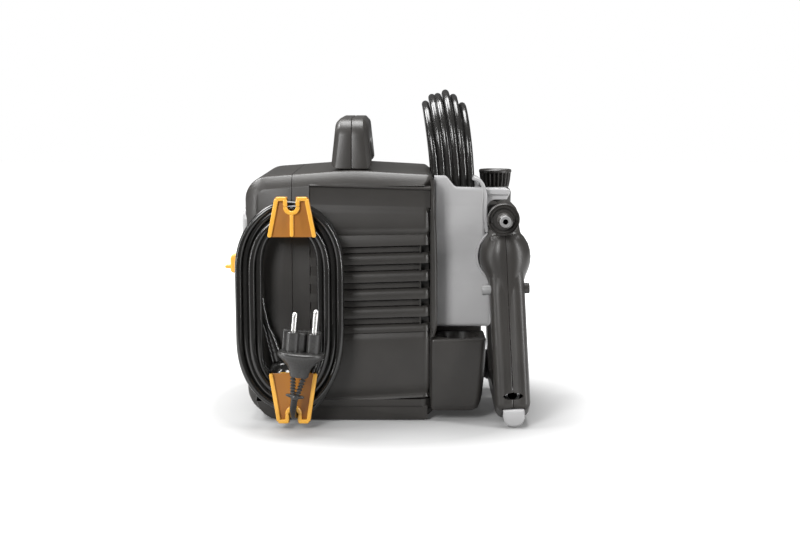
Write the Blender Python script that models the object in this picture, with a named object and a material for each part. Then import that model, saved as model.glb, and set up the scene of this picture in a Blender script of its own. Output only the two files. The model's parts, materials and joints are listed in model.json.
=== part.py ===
"""Compact electric pressure washer with its gun, lance, hose and mains cord stowed on it.

The housing stands on four feet. Its near side (-Y) carries two cord hooks with the mains cord
hanked around them. The rear (+X) carries the hose holder, the gun, the lance and a pocket.
The front (-X) carries the rotary switch. Numbers are millimetres, turned into metres by MM.
"""
import math

import bmesh
import bpy
from mathutils import Matrix, Vector

MM = 0.001
GAP = 0.3

# Housing: an upright rounded slab, split into a front and a rear shell.
BODY_NEAR = -82.5
BODY_FAR = 117.5
BODY_MID = (BODY_NEAR + BODY_FAR) / 2
BODY_BOTTOM = 3.0
BODY_TOP = 239.0
BODY_FRONT = -120.0
BODY_REAR = 58.0
BODY_CORNERS = (
    (BODY_FRONT, BODY_BOTTOM, 30.0),
    (BODY_REAR, BODY_BOTTOM, 6.0),
    (BODY_REAR, BODY_TOP, 8.0),
    (BODY_FRONT, BODY_TOP, 24.0),
)
BODY_SIDE_RADIUS = 12.0
WALL = 3.0
SEAM_X = -75.5
SCREW_Y = 100.0
SCREW_Z = (24.0, 214.0)
SCREW_RADIUS = 2.0

# Louvres on both sides of the rear shell.
LOUVRE_FRONT = -50.0
LOUVRE_REAR = 44.0
LOUVRE_TOP = 167.5
LOUVRE_HEIGHT = 7.0
LOUVRE_PITCH = 16.8
LOUVRE_COUNT = 5
LOUVRE_DEPTH = 1.8
VENT_HEIGHT = 2.0

# Carrying handle: an arch along Y, in two halves.
HANDLE_X = -20.0
HANDLE_FOOT_WIDTH = 38.0
HANDLE_TOP_WIDTH = 30.0
HANDLE_TOP = 290.0
HANDLE_NEAR = -68.0
HANDLE_LEG = 33.0
HANDLE_GRIP = 27.0

# Rubber feet.
FOOT_RADIUS = 9.0
FOOT_X = (-88.0, 42.0)
FOOT_Y = (-60.0, 95.0)

# Rotary switch on the front panel.
KNOB_Y = 20.0
KNOB_Z = 139.0
KNOB_RADIUS = 17.0
KNOB_TIP_X = -152.0
PANEL_LOW_Z = 70.0
PANEL_HIGH_Z = 205.0
PANEL_HALF_WIDTH = 55.0

# Cord hooks on the near side.
HOOK_X = -73.0
HOOK_FACE = -117.5
HOOK_THICK = 5.0
HOOK_WIDE = 23.5
HOOK_NARROW = 15.0
HOOK_NOTCH = 7.4
HOOK_UPPER_WIDE_Z = 180.0
HOOK_UPPER_TIP_Z = 217.0
HOOK_LOWER_WIDE_Z = 53.0
HOOK_LOWER_TIP_Z = 6.0
STEM_HEIGHT = 6.5
STEM_HALF_WIDTH = 12.5

# Mains cord: gland, hank around the hooks, tail and plug.
CORD_RADIUS = 3.25
GLAND = (-88.0, BODY_NEAR, 64.0)
GLAND_RADIUS = 7.0
GLAND_LENGTH = 8.0
HANK_CENTRE_X = -76.5
HANK_HALF_WIDTH = 50.5
HANK_BAND = 24.0
HANK_BEND = 42.0
HANK_BOTTOM = 7.0
HANK_TOP = 213.0
HANK_FRONT_Y = -111.5
HANK_BACK_Y = -87.0
PLUG_BASE = (-67.0, -131.0, 33.0)
PLUG_LEAN = 5.0
RELIEF_BASE = (-70.8, -131.0, 33.0)
RELIEF_LEAN = 10.0
PIN_RADIUS = 2.4
PIN_PITCH = 19.0

# Hose holder behind the housing, with the coiled hose standing in it.
HOLDER_NEAR = -57.0
HOLDER_FAR = 92.0
HOLDER_FRONT = BODY_REAR + GAP
HOLDER_BACK = 105.6
FLANGE_BACK = 117.0
HOLDER_BOTTOM = 87.0
HOLDER_TOP = 231.0
HOLDER_SADDLE = 222.0
HOLDER_LOW_FRONT = 150.0
HOLDER_WALL = 2.2
ARM_BACK = 131.0
ARM_BOTTOM = 208.0
ARM_TOP = 219.0
CLIP_TOP = 194.0
HOSE_RADIUS = 3.6
COIL_X = 82.2
COIL_WIDTH = 41.6
COIL_NEAR = -38.0
COIL_FAR = 76.0
COIL_BOTTOM = 90.0
COIL_TOP = 315.0
COIL_BAND = 9.0
COIL_BEND_START = 200.0
COIL_BEND = 0.0011
HOSE_OUTLET = (72.0, -46.0)

# Pocket below the holder, on the near side.
POCKET_NEAR = -83.0
POCKET_FAR = -28.0
POCKET_BACK = 108.0
POCKET_BOTTOM = 9.0
POCKET_TOP = 79.0
POCKET_HOLE = (82.0, -56.0)
POCKET_HOLE_RADIUS = 18.7
POCKET_DEPTH = 62.0

# Lance hanging in the holder's clip, with its ribbed nozzle ring on top.
LANCE = (124.5, 58.0)
LANCE_RADIUS = 8.0
LANCE_BOTTOM = 64.0
RING_BOTTOM = 213.3
RING_TOP = 232.0

# Trigger gun: drawn about its nozzle axis, leaning sideways as it hangs.
GUN_ORIGIN = (124.8, 0.0, 186.0)
GUN_LEAN = -2.5
GUN_HALF_WIDTH = 16.5
GUN_WALL = 2.6
GUN_NOSE = -86.0
GUN_NOZZLE_Z = 8.0
GUN_STUB_TIP = -113.0
NOZZLE_BORE = 10.5
VALVE_RADIUS = 8.0
VALVE_LENGTH = 28.0
GUN_BULB = (0.0, -88.0, -30.0)
GUN_BULB_RADIUS = 24.0
GUN_PORT_Z = -157.0
TRIGGER_PIVOT = (0.0, -30.0, -14.0)
LOCK_PIN = (-80.0, -59.0)
LOCK_PIN_ENDS = (-24.0, 21.0)

# Water inlet at the lower rear.
INLET_Y = 52.0
INLET_Z = 28.0
INLET_TIP_X = 124.0

# Motor and pump, upright inside the housing.
MOTOR_X = 0.0
MOTOR_Y = BODY_MID
PISTON_CIRCLE = 15.0
PISTON_RADIUS = 6.0
PISTON_COUNT = 3

PLANES = {
    "XY": (Vector((1, 0, 0)), Vector((0, 1, 0)), Vector((0, 0, 1))),
    "XZ": (Vector((1, 0, 0)), Vector((0, 0, 1)), Vector((0, 1, 0))),
    "YZ": (Vector((0, 1, 0)), Vector((0, 0, 1)), Vector((1, 0, 0))),
}


def clear_scene():
    for item in list(bpy.data.objects):
        bpy.data.objects.remove(item)


def plastic(name, colour, roughness, metallic=0.0):
    material = bpy.data.materials.new(name)
    material.use_nodes = True
    shader = material.node_tree.nodes["Principled BSDF"]
    shader.inputs["Base Color"].default_value = (*colour, 1.0)
    shader.inputs["Roughness"].default_value = roughness
    shader.inputs["Metallic"].default_value = metallic
    return material


def finish_mesh(name, mesh_data, material, origin=(0, 0, 0), parent=None):
    """Turn a bmesh drawn in millimetres into a named object with its origin at a point."""
    bmesh.ops.translate(mesh_data, verts=mesh_data.verts, vec=-Vector(origin))
    bmesh.ops.scale(mesh_data, verts=mesh_data.verts, vec=(MM, MM, MM))
    bmesh.ops.recalc_face_normals(mesh_data, faces=mesh_data.faces)
    mesh = bpy.data.meshes.new(name)
    mesh_data.to_mesh(mesh)
    mesh_data.free()
    mesh.shade_smooth()
    mesh.set_sharp_from_angle(angle=math.radians(32))
    if material:
        mesh.materials.append(material)
    item = bpy.data.objects.new(name, mesh)
    bpy.context.collection.objects.link(item)
    item.location = Vector(origin) * MM
    item.parent = parent
    return item


def carve(target, cutter, operation="DIFFERENCE"):
    """Cut, join or trim one object with another, which then stays out of the model."""
    modifier = target.modifiers.new(cutter.name, "BOOLEAN")
    modifier.operation = operation
    modifier.object = cutter
    cutter.hide_render = True
    cutter.display_type = "WIRE"


def box(name, low, high, material=None, bevel=0.0, **place):
    low = Vector(low)
    high = Vector(high)
    shape = bmesh.new()
    bmesh.ops.create_cube(shape, size=1.0)
    bmesh.ops.scale(shape, verts=shape.verts, vec=high - low)
    bmesh.ops.translate(shape, verts=shape.verts, vec=(low + high) / 2)
    if bevel:
        edges = shape.edges[:]
        bmesh.ops.bevel(shape, geom=edges, offset=bevel, segments=2, profile=0.5, affect="EDGES")
    return finish_mesh(name, shape, material, **place)


def loft(name, loops, material=None, ring=False, **place):
    """Skin a row of loops with equal point counts, capped at both ends unless it is a ring."""
    shape = bmesh.new()
    rows = [[shape.verts.new(point) for point in loop] for loop in loops]
    pairs = list(zip(rows, rows[1:]))
    if ring:
        pairs.append((rows[-1], rows[0]))
    for near, far in pairs:
        for index, here in enumerate(near):
            after = (index + 1) % len(near)
            shape.faces.new((here, near[after], far[after], far[index]))
    if not ring:
        shape.faces.new(rows[0])
        shape.faces.new(rows[-1])
    return finish_mesh(name, shape, material, **place)


def turned(name, profile, start, axis, material=None, sides=24, ring=False, **place):
    """Turn (radius, height) points about an axis; a ring's profile is a closed outline."""
    swing = Vector((0, 0, 1)).rotation_difference(Vector(axis)).to_matrix()
    loops = []
    for radius, height in profile:
        loop = []
        for side in range(sides):
            angle = 2 * math.pi * side / sides
            point = Vector((radius * math.cos(angle), radius * math.sin(angle), height))
            loop.append(Vector(start) + swing @ point)
        loops.append(loop)
    return loft(name, loops, material, ring, **place)


def rod(name, start, end, radius, material=None, sides=24, **place):
    axis = Vector(end) - Vector(start)
    profile = ((radius, 0.0), (radius, axis.length))
    return turned(name, profile, start, axis, material, sides, **place)


def sleeve(name, start, end, inner, outer, material=None, sides=24, **place):
    axis = Vector(end) - Vector(start)
    length = axis.length
    profile = ((inner, 0.0), (outer, 0.0), (outer, length), (inner, length))
    return turned(name, profile, start, axis, material, sides, ring=True, **place)


def prism(name, outline, plane, start, end, material=None, holes=(), **place):
    """Extrude a flat outline, with any holes in it, from start to end along the plane's normal."""
    across, up, along = PLANES[plane]
    shape = bmesh.new()
    for loop in (outline, *holes):
        corners = [shape.verts.new(across * u + up * v + along * start) for u, v in loop]
        for one, two in zip(corners, corners[1:] + corners[:1]):
            shape.edges.new((one, two))
    bmesh.ops.triangle_fill(shape, edges=shape.edges[:], use_beauty=True)
    grown = bmesh.ops.extrude_face_region(shape, geom=shape.faces[:])
    moved = [item for item in grown["geom"] if isinstance(item, bmesh.types.BMVert)]
    bmesh.ops.translate(shape, verts=moved, vec=along * (end - start))
    return finish_mesh(name, shape, material, **place)


def rounded(corners, inset=0.0, steps=4):
    """Counter-clockwise outline through (u, v, radius) corners, drawn inset from its edges."""
    points = []
    for index, (u, v, radius) in enumerate(corners):
        here = Vector((u, v))
        back = (Vector(corners[index - 1][:2]) - here).normalized()
        ahead = (Vector(corners[(index + 1) % len(corners)][:2]) - here).normalized()
        half = back.angle(ahead) / 2
        toward = (back + ahead).normalized()
        side = 1.0 if ahead.cross(back) > 0 else -1.0
        corner = here + toward * (side * inset / math.sin(half))
        bend = max(radius - side * inset, 1.0)
        centre = corner + toward * (bend / math.sin(half))
        first = corner + back * (bend / math.tan(half)) - centre
        last = corner + ahead * (bend / math.tan(half)) - centre
        start = math.atan2(first.y, first.x)
        sweep = math.atan2(last.y, last.x) - start
        sweep = (sweep + math.pi) % (2 * math.pi) - math.pi
        for step in range(steps + 1):
            angle = start + sweep * step / steps
            points.append((centre.x + bend * math.cos(angle), centre.y + bend * math.sin(angle)))
    return points


def circle(centre, radii, count=24):
    """Points round an ellipse, counter-clockwise."""
    turns = [2 * math.pi * step / count for step in range(count)]
    return [(centre[0] + radii[0] * math.cos(a), centre[1] + radii[1] * math.sin(a)) for a in turns]


def slab(name, corners, near, far, edge_radius, inset=0.0, material=None, **place):
    """Extrude a rounded side outline from near to far, with its two rims rounded over."""
    bends = [math.radians(angle) for angle in (0, 30, 60, 90)]
    stations = []
    for bend in bends:
        drop = edge_radius * (1 - math.sin(bend))
        stations.append((near + edge_radius * (1 - math.cos(bend)), drop))
    for bend in reversed(bends):
        drop = edge_radius * (1 - math.sin(bend))
        stations.append((far - edge_radius * (1 - math.cos(bend)), drop))
    loops = []
    for y, drop in stations:
        loops.append([(x, y, z) for x, z in rounded(corners, inset + drop)])
    return loft(name, loops, material, **place)


def smooth_points(route, count):
    """Read evenly spaced points from a Catmull-Rom curve through a route's points."""
    knots = [Vector(point) for point in route]
    knots = [2 * knots[0] - knots[1]] + knots + [2 * knots[-1] - knots[-2]]
    dense = []
    for p0, p1, p2, p3 in zip(knots, knots[1:], knots[2:], knots[3:]):
        for step in range(24):
            t = step / 24
            dense.append(0.5 * ((2 * p1) + (p2 - p0) * t + (2 * p0 - 5 * p1 + 4 * p2 - p3) * t**2
                                + (3 * p1 - p0 - 3 * p2 + p3) * t**3))
    dense.append(knots[-2])
    reach = [0.0]
    for one, two in zip(dense, dense[1:]):
        reach.append(reach[-1] + (two - one).length)
    points = []
    for step in range(count):
        goal = reach[-1] * step / (count - 1)
        index = min(max(k for k, far in enumerate(reach) if far <= goal + 1e-9), len(dense) - 2)
        part = (goal - reach[index]) / (reach[index + 1] - reach[index])
        points.append(dense[index].lerp(dense[index + 1], part))
    return points


def tube(name, route, radius, material, resolution=2):
    """A cord or pipe: a smooth route drawn as a round bevelled curve with filled ends."""
    length = sum((Vector(b) - Vector(a)).length for a, b in zip(route, route[1:]))
    count = max(14, round(length / (5 * radius)))
    curve = bpy.data.curves.new(name, "CURVE")
    curve.dimensions = "3D"
    curve.bevel_depth = radius * MM
    curve.bevel_resolution = resolution
    curve.use_fill_caps = True
    spline = curve.splines.new("POLY")
    points = smooth_points(route, count)
    spline.points.add(len(points) - 1)
    for knot, point in zip(spline.points, points):
        knot.co = (*(point * MM), 1.0)
    curve.materials.append(material)
    item = bpy.data.objects.new(name, curve)
    bpy.context.collection.objects.link(item)
    return item


def empty(name, location, lean=0.0):
    item = bpy.data.objects.new(name, None)
    bpy.context.collection.objects.link(item)
    item.location = Vector(location) * MM
    item.rotation_euler = (0.0, math.radians(lean), 0.0)
    return item


def housing_shells(dark):
    """Front and rear shells: one hollow slab parted at the seam, with louvres and holes."""
    split = {
        "front_shell": (BODY_FRONT - 10, SEAM_X - GAP / 2),
        "rear_shell": (SEAM_X + GAP / 2, BODY_REAR + 10),
    }
    shells = {}
    for name, (low_x, high_x) in split.items():
        shell = slab(name, BODY_CORNERS, BODY_NEAR, BODY_FAR, BODY_SIDE_RADIUS, 0.0, dark)
        cavity = slab(name + "_cavity", BODY_CORNERS, BODY_NEAR + WALL, BODY_FAR - WALL,
                      BODY_SIDE_RADIUS - WALL, WALL)
        half = box(name + "_half", (low_x, -150, -10), (high_x, 150, 260))
        carve(shell, cavity)
        carve(shell, half, "INTERSECT")
        shells[name] = shell
    cut_louvres(shells["rear_shell"])
    cut_inlet_hole(shells["rear_shell"])
    cut_switch_opening(shells["front_shell"])
    return shells


def cut_louvres(shell):
    """Five long recesses a side, each with a narrow vent slit along its top."""
    for side, face, inward in (("near", BODY_NEAR, 1.0), ("far", BODY_FAR, -1.0)):
        for row in range(LOUVRE_COUNT):
            top = LOUVRE_TOP - row * LOUVRE_PITCH
            outer = face - inward * 5.0
            floor = face + inward * LOUVRE_DEPTH
            inner = face + inward * (WALL + 2.0)
            recess = box(f"louvre_{side}_{row}",
                         (LOUVRE_FRONT, min(outer, floor), top - LOUVRE_HEIGHT),
                         (LOUVRE_REAR, max(outer, floor), top))
            vent = box(f"vent_{side}_{row}",
                       (LOUVRE_FRONT + 4, min(outer, inner), top - VENT_HEIGHT - 0.5),
                       (LOUVRE_REAR - 4, max(outer, inner), top - 0.5))
            carve(shell, recess)
            carve(shell, vent)


def cut_inlet_hole(shell):
    hole = rod("inlet_hole", (BODY_REAR - 8, INLET_Y, INLET_Z), (BODY_REAR + 8, INLET_Y, INLET_Z),
               9.0 + GAP)
    carve(shell, hole)
    for index, z in enumerate(SCREW_Z, start=1):
        bore = rod(f"shell_screw_bore_{index}", (BODY_REAR - 8, SCREW_Y, z), (BODY_REAR + 8, SCREW_Y, z),
                   SCREW_RADIUS + GAP, sides=16)
        carve(shell, bore)


def cut_switch_opening(shell):
    """Window that the front panel fills."""
    window = box("panel_window", (BODY_FRONT - 5, KNOB_Y - PANEL_HALF_WIDTH - GAP, PANEL_LOW_Z - GAP),
                 (BODY_FRONT + 8, KNOB_Y + PANEL_HALF_WIDTH + GAP, PANEL_HIGH_Z + GAP))
    carve(shell, window)


def shell_screws(steel):
    for index, z in enumerate(SCREW_Z, start=1):
        profile = ((SCREW_RADIUS, -18.0), (SCREW_RADIUS, GAP), (4.0, GAP), (4.0, 2.2), (2.8, 3.2))
        turned(f"shell_screw_{index}", profile, (BODY_REAR, SCREW_Y, z), (1, 0, 0), steel, 16)


def handle_halves(dark):
    """Front and rear halves of the arch, each tapering towards the top of the grip."""
    far = 2 * BODY_MID - HANDLE_NEAR
    foot = BODY_TOP + GAP
    under = HANDLE_TOP - HANDLE_GRIP
    outline = rounded((
        (HANDLE_NEAR + HANDLE_LEG, foot, 1.0),
        (HANDLE_NEAR + HANDLE_LEG + 7, under, 14.0),
        (far - HANDLE_LEG - 7, under, 14.0),
        (far - HANDLE_LEG, foot, 1.0),
        (far, foot, 1.0),
        (far - 8, HANDLE_TOP, 22.0),
        (HANDLE_NEAR + 8, HANDLE_TOP, 22.0),
        (HANDLE_NEAR, foot, 1.0),
    ))
    spans = {
        "handle_front_half": (HANDLE_X - HANDLE_FOOT_WIDTH / 2, HANDLE_X - GAP / 2),
        "handle_rear_half": (HANDLE_X + GAP / 2, HANDLE_X + HANDLE_FOOT_WIDTH / 2),
    }
    for name, (low_x, high_x) in spans.items():
        half = prism(name, outline, "YZ", low_x, high_x, dark)
        taper_handle(half)


def taper_handle(half):
    """Narrow a half from the foot's width to the grip's width."""
    rise = (HANDLE_TOP - BODY_TOP) * MM
    for vertex in half.data.vertices:
        up = (vertex.co.z - BODY_TOP * MM) / rise
        scale = 1.0 - up * (1.0 - HANDLE_TOP_WIDTH / HANDLE_FOOT_WIDTH)
        off = vertex.co.x - HANDLE_X * MM
        if abs(off) > GAP * MM:
            vertex.co.x = HANDLE_X * MM + off * scale


def feet(rubber):
    number = 0
    for x in FOOT_X:
        for y in FOOT_Y:
            number += 1
            profile = ((FOOT_RADIUS - 1, 0.0), (FOOT_RADIUS, 0.8), (FOOT_RADIUS, BODY_BOTTOM - GAP))
            turned(f"foot_{number}", profile, (x, y, 0.0), (0, 0, 1), rubber, 20)


def rotary_switch(grey, orange, dark):
    """Front panel, the knob with its grip tab, and the switch behind them."""
    panel = box("front_panel", (BODY_FRONT - 1.0, KNOB_Y - PANEL_HALF_WIDTH, PANEL_LOW_Z),
                (BODY_FRONT + 2.5, KNOB_Y + PANEL_HALF_WIDTH, PANEL_HIGH_Z), grey)
    hole = rod("knob_hole", (BODY_FRONT - 9, KNOB_Y, KNOB_Z), (BODY_FRONT + 9, KNOB_Y, KNOB_Z), 4.5)
    carve(panel, hole)
    axis_point = (BODY_FRONT - 1.0, KNOB_Y, KNOB_Z)
    profile = ((4.0, -12.0), (4.0, 0.5), (KNOB_RADIUS, 0.5), (KNOB_RADIUS, 10.0),
               (KNOB_RADIUS - 3, 15.0))
    knob = turned("switch_knob", profile, axis_point, (-1, 0, 0), orange, 32, origin=axis_point)
    grip = box("knob_grip", (KNOB_TIP_X, KNOB_Y - 3.5, KNOB_Z - 9),
               (BODY_FRONT - 14, KNOB_Y + 3.5, KNOB_Z + 9), bevel=1.5)
    carve(knob, grip, "UNION")
    body = box("switch_body", (BODY_FRONT + 4, KNOB_Y - 16, KNOB_Z - 14),
               (BODY_FRONT + 34, KNOB_Y + 16, KNOB_Z + 14), dark)
    socket = rod("knob_socket", (BODY_FRONT, KNOB_Y, KNOB_Z), (BODY_FRONT + 16, KNOB_Y, KNOB_Z), 4.4)
    carve(body, socket)


def cord_hooks(orange):
    """Two tray-shaped hooks, mirrored, each with a cord notch in its free end."""
    for name, wide_z, tip_z in (
        ("cord_hook_upper", HOOK_UPPER_WIDE_Z, HOOK_UPPER_TIP_Z),
        ("cord_hook_lower", HOOK_LOWER_WIDE_Z, HOOK_LOWER_TIP_Z),
    ):
        up = 1.0 if tip_z > wide_z else -1.0
        plate = box(name, (HOOK_X - HOOK_WIDE, HOOK_FACE, min(wide_z, tip_z)),
                    (HOOK_X + HOOK_WIDE, HOOK_FACE + HOOK_THICK, max(wide_z, tip_z)), orange)
        for vertex in plate.data.vertices:
            at_tip = abs(vertex.co.z - tip_z * MM) < abs(vertex.co.z - wide_z * MM)
            if at_tip:
                vertex.co.x = HOOK_X * MM + (vertex.co.x - HOOK_X * MM) * HOOK_NARROW / HOOK_WIDE
        stem_end = wide_z + up * STEM_HEIGHT
        stem = box(name + "_stem",
                   (HOOK_X - STEM_HALF_WIDTH, HOOK_FACE + HOOK_THICK - 1, min(wide_z, stem_end)),
                   (HOOK_X + STEM_HALF_WIDTH, BODY_NEAR - GAP, max(wide_z, stem_end)))
        carve(plate, stem, "UNION")
        inner_end = tip_z - up * 12.0
        notch = box(name + "_notch", (HOOK_X - HOOK_NOTCH / 2, HOOK_FACE - 5, min(tip_z + up * 5, inner_end)),
                    (HOOK_X + HOOK_NOTCH / 2, HOOK_FACE + HOOK_THICK + 1, max(tip_z + up * 5, inner_end)))
        carve(plate, notch)
        cut_hook_tray(plate, name, wide_z, tip_z, up)


def cut_hook_tray(plate, name, wide_z, tip_z, up):
    """Shallow recess either side of the hook's middle rib."""
    for side in (-1.0, 1.0):
        inner = HOOK_X + side * 6.5
        wide_edge = HOOK_X + side * (HOOK_WIDE - 4.5)
        tip_edge = HOOK_X + side * (HOOK_NARROW - 3.0)
        start = wide_z + up * 3.0
        end = tip_z - up * 3.5
        outline = [(inner, start), (wide_edge, start), (tip_edge, end), (inner, end)]
        recess = prism(f"{name}_tray_{side:+.0f}", outline, "XZ", HOOK_FACE - 3, HOOK_FACE + 2.2)
        carve(plate, recess)


def hank_outline(inset):
    """Upright loop with round ends."""
    half = HANK_HALF_WIDTH - inset
    radius = HANK_BEND - inset
    corners = (
        (HANK_CENTRE_X - half, HANK_BOTTOM + inset, radius),
        (HANK_CENTRE_X + half, HANK_BOTTOM + inset, radius),
        (HANK_CENTRE_X + half, HANK_TOP - inset, radius),
        (HANK_CENTRE_X - half, HANK_TOP - inset, radius),
    )
    return rounded(corners, 0.0, 8)


def mains_cord(dark, cord):
    """Gland, lead, hank, tail, strain relief and two-pin plug."""
    profile = ((GLAND_RADIUS, 0.3), (GLAND_RADIUS, 3.0), (GLAND_RADIUS - 1.5, GLAND_LENGTH))
    turned("cable_gland", profile, GLAND, (0, -1, 0), dark, 20)
    inner_edge = HANK_CENTRE_X - HANK_HALF_WIDTH + HANK_BAND
    lead_route = (
        (GLAND[0], BODY_NEAR - GLAND_LENGTH - 2 * GAP, GLAND[2]),
        (GLAND[0], BODY_NEAR - GLAND_LENGTH - 2.5, GLAND[2]),
        (GLAND[0], BODY_NEAR - GLAND_LENGTH - 5, GLAND[2] + 0.2),
        (GLAND[0] - 6.0, -98.0, GLAND[2] + 12),
        (inner_edge + CORD_RADIUS + 2.0, -99.0, GLAND[2] + 24),
    )
    tube("mains_cord_lead", lead_route, CORD_RADIUS, cord, 2)
    prism("mains_cord_hank", hank_outline(0.0), "XZ", HANK_FRONT_Y, HANK_BACK_Y, cord,
          holes=(hank_outline(HANK_BAND),))
    tail_route = (
        (HOOK_X, HANK_FRONT_Y - 2 * GAP, 10.6),
        (HOOK_X, HANK_FRONT_Y - 2.4, 10.6),
        (HOOK_X, HANK_FRONT_Y - 4.6, 11.3),
        (HOOK_X - 0.2, -119.6, 13.6),
        (HOOK_X, -126.0, 18.8),
        (HOOK_X + 0.8, -130.6, 26.0),
        (RELIEF_BASE[0] - 0.1, RELIEF_BASE[1], RELIEF_BASE[2] - 2 * GAP),
    )
    tube("mains_cord_tail", tail_route, CORD_RADIUS, cord, 2)
    mains_plug(dark)


def mains_plug(dark):
    """Bent strain relief, contoured plug body and its two round pins, leaning a little."""
    frame = empty("plug_frame", PLUG_BASE, PLUG_LEAN)
    relief_frame = empty("relief_frame", RELIEF_BASE, RELIEF_LEAN)
    steel = plastic("bright_pin", (0.75, 0.74, 0.72), 0.25, 1.0)
    profile = [(3.8, 0.0)]
    for rib in range(5):
        low = 2.0 + rib * 4.0
        grow = 0.45 * rib
        profile += [(4.6 + grow, low), (5.6 + grow, low + 0.8), (5.6 + grow, low + 2.2)]
        profile.append((4.6 + grow, low + 3.0))
    profile.append((6.5, 21.6))
    turned("plug_strain_relief", profile, (0, 0, 0), (0, 0, 1), dark, 16, parent=relief_frame)
    loops = []
    for z, half_x, half_y in ((22.3, 7.5, 7.0), (28.0, 10.0, 8.5), (34.0, 18.0, 11.5), (38.0, 23.5, 14.0),
                              (41.0, 24.0, 14.5), (43.5, 23.0, 13.5), (43.8, 18.5, 11.0), (62.0, 18.0, 10.5)):
        loops.append([(x, y, z) for x, y in circle((0, 0), (half_x, half_y), 28)])
    body = loft("plug_body", loops, dark, parent=frame)
    for side, name, tip in ((-1.0, "plug_pin_left", 80.0), (1.0, "plug_pin_right", 84.0)):
        x = side * PIN_PITCH / 2
        bore = rod(name + "_bore", (x, 0, 52.0), (x, 0, 70.0), PIN_RADIUS + GAP, sides=16, parent=frame)
        carve(body, bore)
        pin_profile = ((PIN_RADIUS, 52.5), (PIN_RADIUS, tip - 2), (1.2, tip))
        turned(name, pin_profile, (x, 0, 0), (0, 0, 1), steel, 16, parent=frame)


def accessory_holder(grey):
    """Open-topped hose holder with a saddle in its near wall, a side flange, gun arm and clip."""
    outline = rounded((
        (HOLDER_FRONT, HOLDER_BOTTOM, 2.0),
        (HOLDER_BACK, HOLDER_BOTTOM, 2.0),
        (HOLDER_BACK, HOLDER_TOP - 2, 2.0),
        (HOLDER_BACK - 3, HOLDER_SADDLE, 2.0),
        (HOLDER_FRONT + 22, HOLDER_SADDLE, 6.0),
        (HOLDER_FRONT + 13, HOLDER_TOP, 5.0),
        (HOLDER_FRONT, HOLDER_TOP, 1.0),
    ))
    holder = prism("accessory_holder", outline, "XZ", HOLDER_NEAR, HOLDER_FAR, grey)
    inner_back = HOLDER_BACK - HOLDER_WALL
    near = HOLDER_NEAR + HOLDER_WALL
    far = HOLDER_FAR - HOLDER_WALL
    hollow = box("holder_hollow", (HOLDER_FRONT + HOLDER_WALL, near, HOLDER_BOTTOM + HOLDER_WALL),
                 (inner_back, far, HOLDER_TOP + 30))
    upper = box("holder_upper_front", (HOLDER_FRONT - 5, near, HOLDER_LOW_FRONT),
                (HOLDER_FRONT + 10, far, HOLDER_TOP + 30))
    carve(holder, hollow)
    carve(holder, upper)
    add_holder_flange(holder)
    add_holder_arms(holder)


def add_holder_flange(holder):
    """Near flange that reaches past the pocket's back, notched where the gun's head passes."""
    flange_outline = rounded((
        (HOLDER_BACK - 4, HOLDER_BOTTOM + 1, 2.0),
        (FLANGE_BACK, HOLDER_BOTTOM + 1, 4.0),
        (FLANGE_BACK, 158.0, 5.0),
        (HOLDER_BACK - 4, 158.0, 2.0),
    ))
    flange = prism("holder_flange", flange_outline, "XZ", HOLDER_NEAR, HOLDER_NEAR + 3)
    carve(holder, flange, "UNION")


def add_holder_arms(holder):
    """Arm over the gun's head, and the clip with the hole that the lance hangs in."""
    arm = box("holder_arm", (HOLDER_BACK - 1.5, -45, ARM_BOTTOM), (ARM_BACK, 30, ARM_TOP), bevel=2.0)
    clip = box("holder_clip", (HOLDER_BACK - 1.5, LANCE[1] - 14, CLIP_TOP - 9),
               (LANCE[0] + 14, LANCE[1] + 14, CLIP_TOP), bevel=2.0)
    eye = rod("holder_eye", (*LANCE, CLIP_TOP - 20), (*LANCE, CLIP_TOP + 10), LANCE_RADIUS + 0.8)
    carve(holder, arm, "UNION")
    carve(holder, clip, "UNION")
    carve(holder, eye)


def hose(cord, brass):
    """Outlet stub on the holder's floor, riser, standing coil and the free end's fitting."""
    floor = HOLDER_BOTTOM + HOLDER_WALL
    turned("hose_outlet", ((8.0, 0.3), (8.0, 8.0), (5.5, 10.0), (5.5, 14.0)),
           (*HOSE_OUTLET, floor), (0, 0, 1), brass, 20)
    riser = (
        (*HOSE_OUTLET, floor + 14.0 + GAP),
        (*HOSE_OUTLET, floor + 26.0),
        (HOSE_OUTLET[0] + 2, HOSE_OUTLET[1], 150.0),
        (HOSE_OUTLET[0] + 4, COIL_NEAR - HOSE_RADIUS - 0.6, 175.0),
    )
    tube("hose_lead", riser, HOSE_RADIUS, cord, 2)
    coil = prism("hose_coil", coil_outline(0.0), "YZ", COIL_X - COIL_WIDTH / 2, COIL_X + COIL_WIDTH / 2,
                 cord, holes=(coil_outline(COIL_BAND),))
    bend_coil(coil)
    turned("hose_end_fitting", ((4.5, 0.3), (6.0, 3.0), (6.0, 18.0), (4.0, 20.0), (4.0, 30.0)),
           (COIL_X, 83.0, floor), (0, 0, 1), brass, 20)


def coil_outline(inset):
    """Upright loop with round ends."""
    near = COIL_NEAR + inset
    far = COIL_FAR - inset
    bottom = COIL_BOTTOM + inset
    top = COIL_TOP - inset
    radius = (far - near) / 2 - 0.5
    corners = ((near, bottom, radius), (far, bottom, radius), (far, top, radius), (near, top, radius))
    return rounded(corners, 0.0, 8)


def bend_coil(coil):
    """Let the coil lean towards the handle above the holder, more the higher it is."""
    for vertex in coil.data.vertices:
        rise = max(vertex.co.z / MM - COIL_BEND_START, 0.0)
        vertex.co.x -= COIL_BEND * rise**2 * MM


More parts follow.
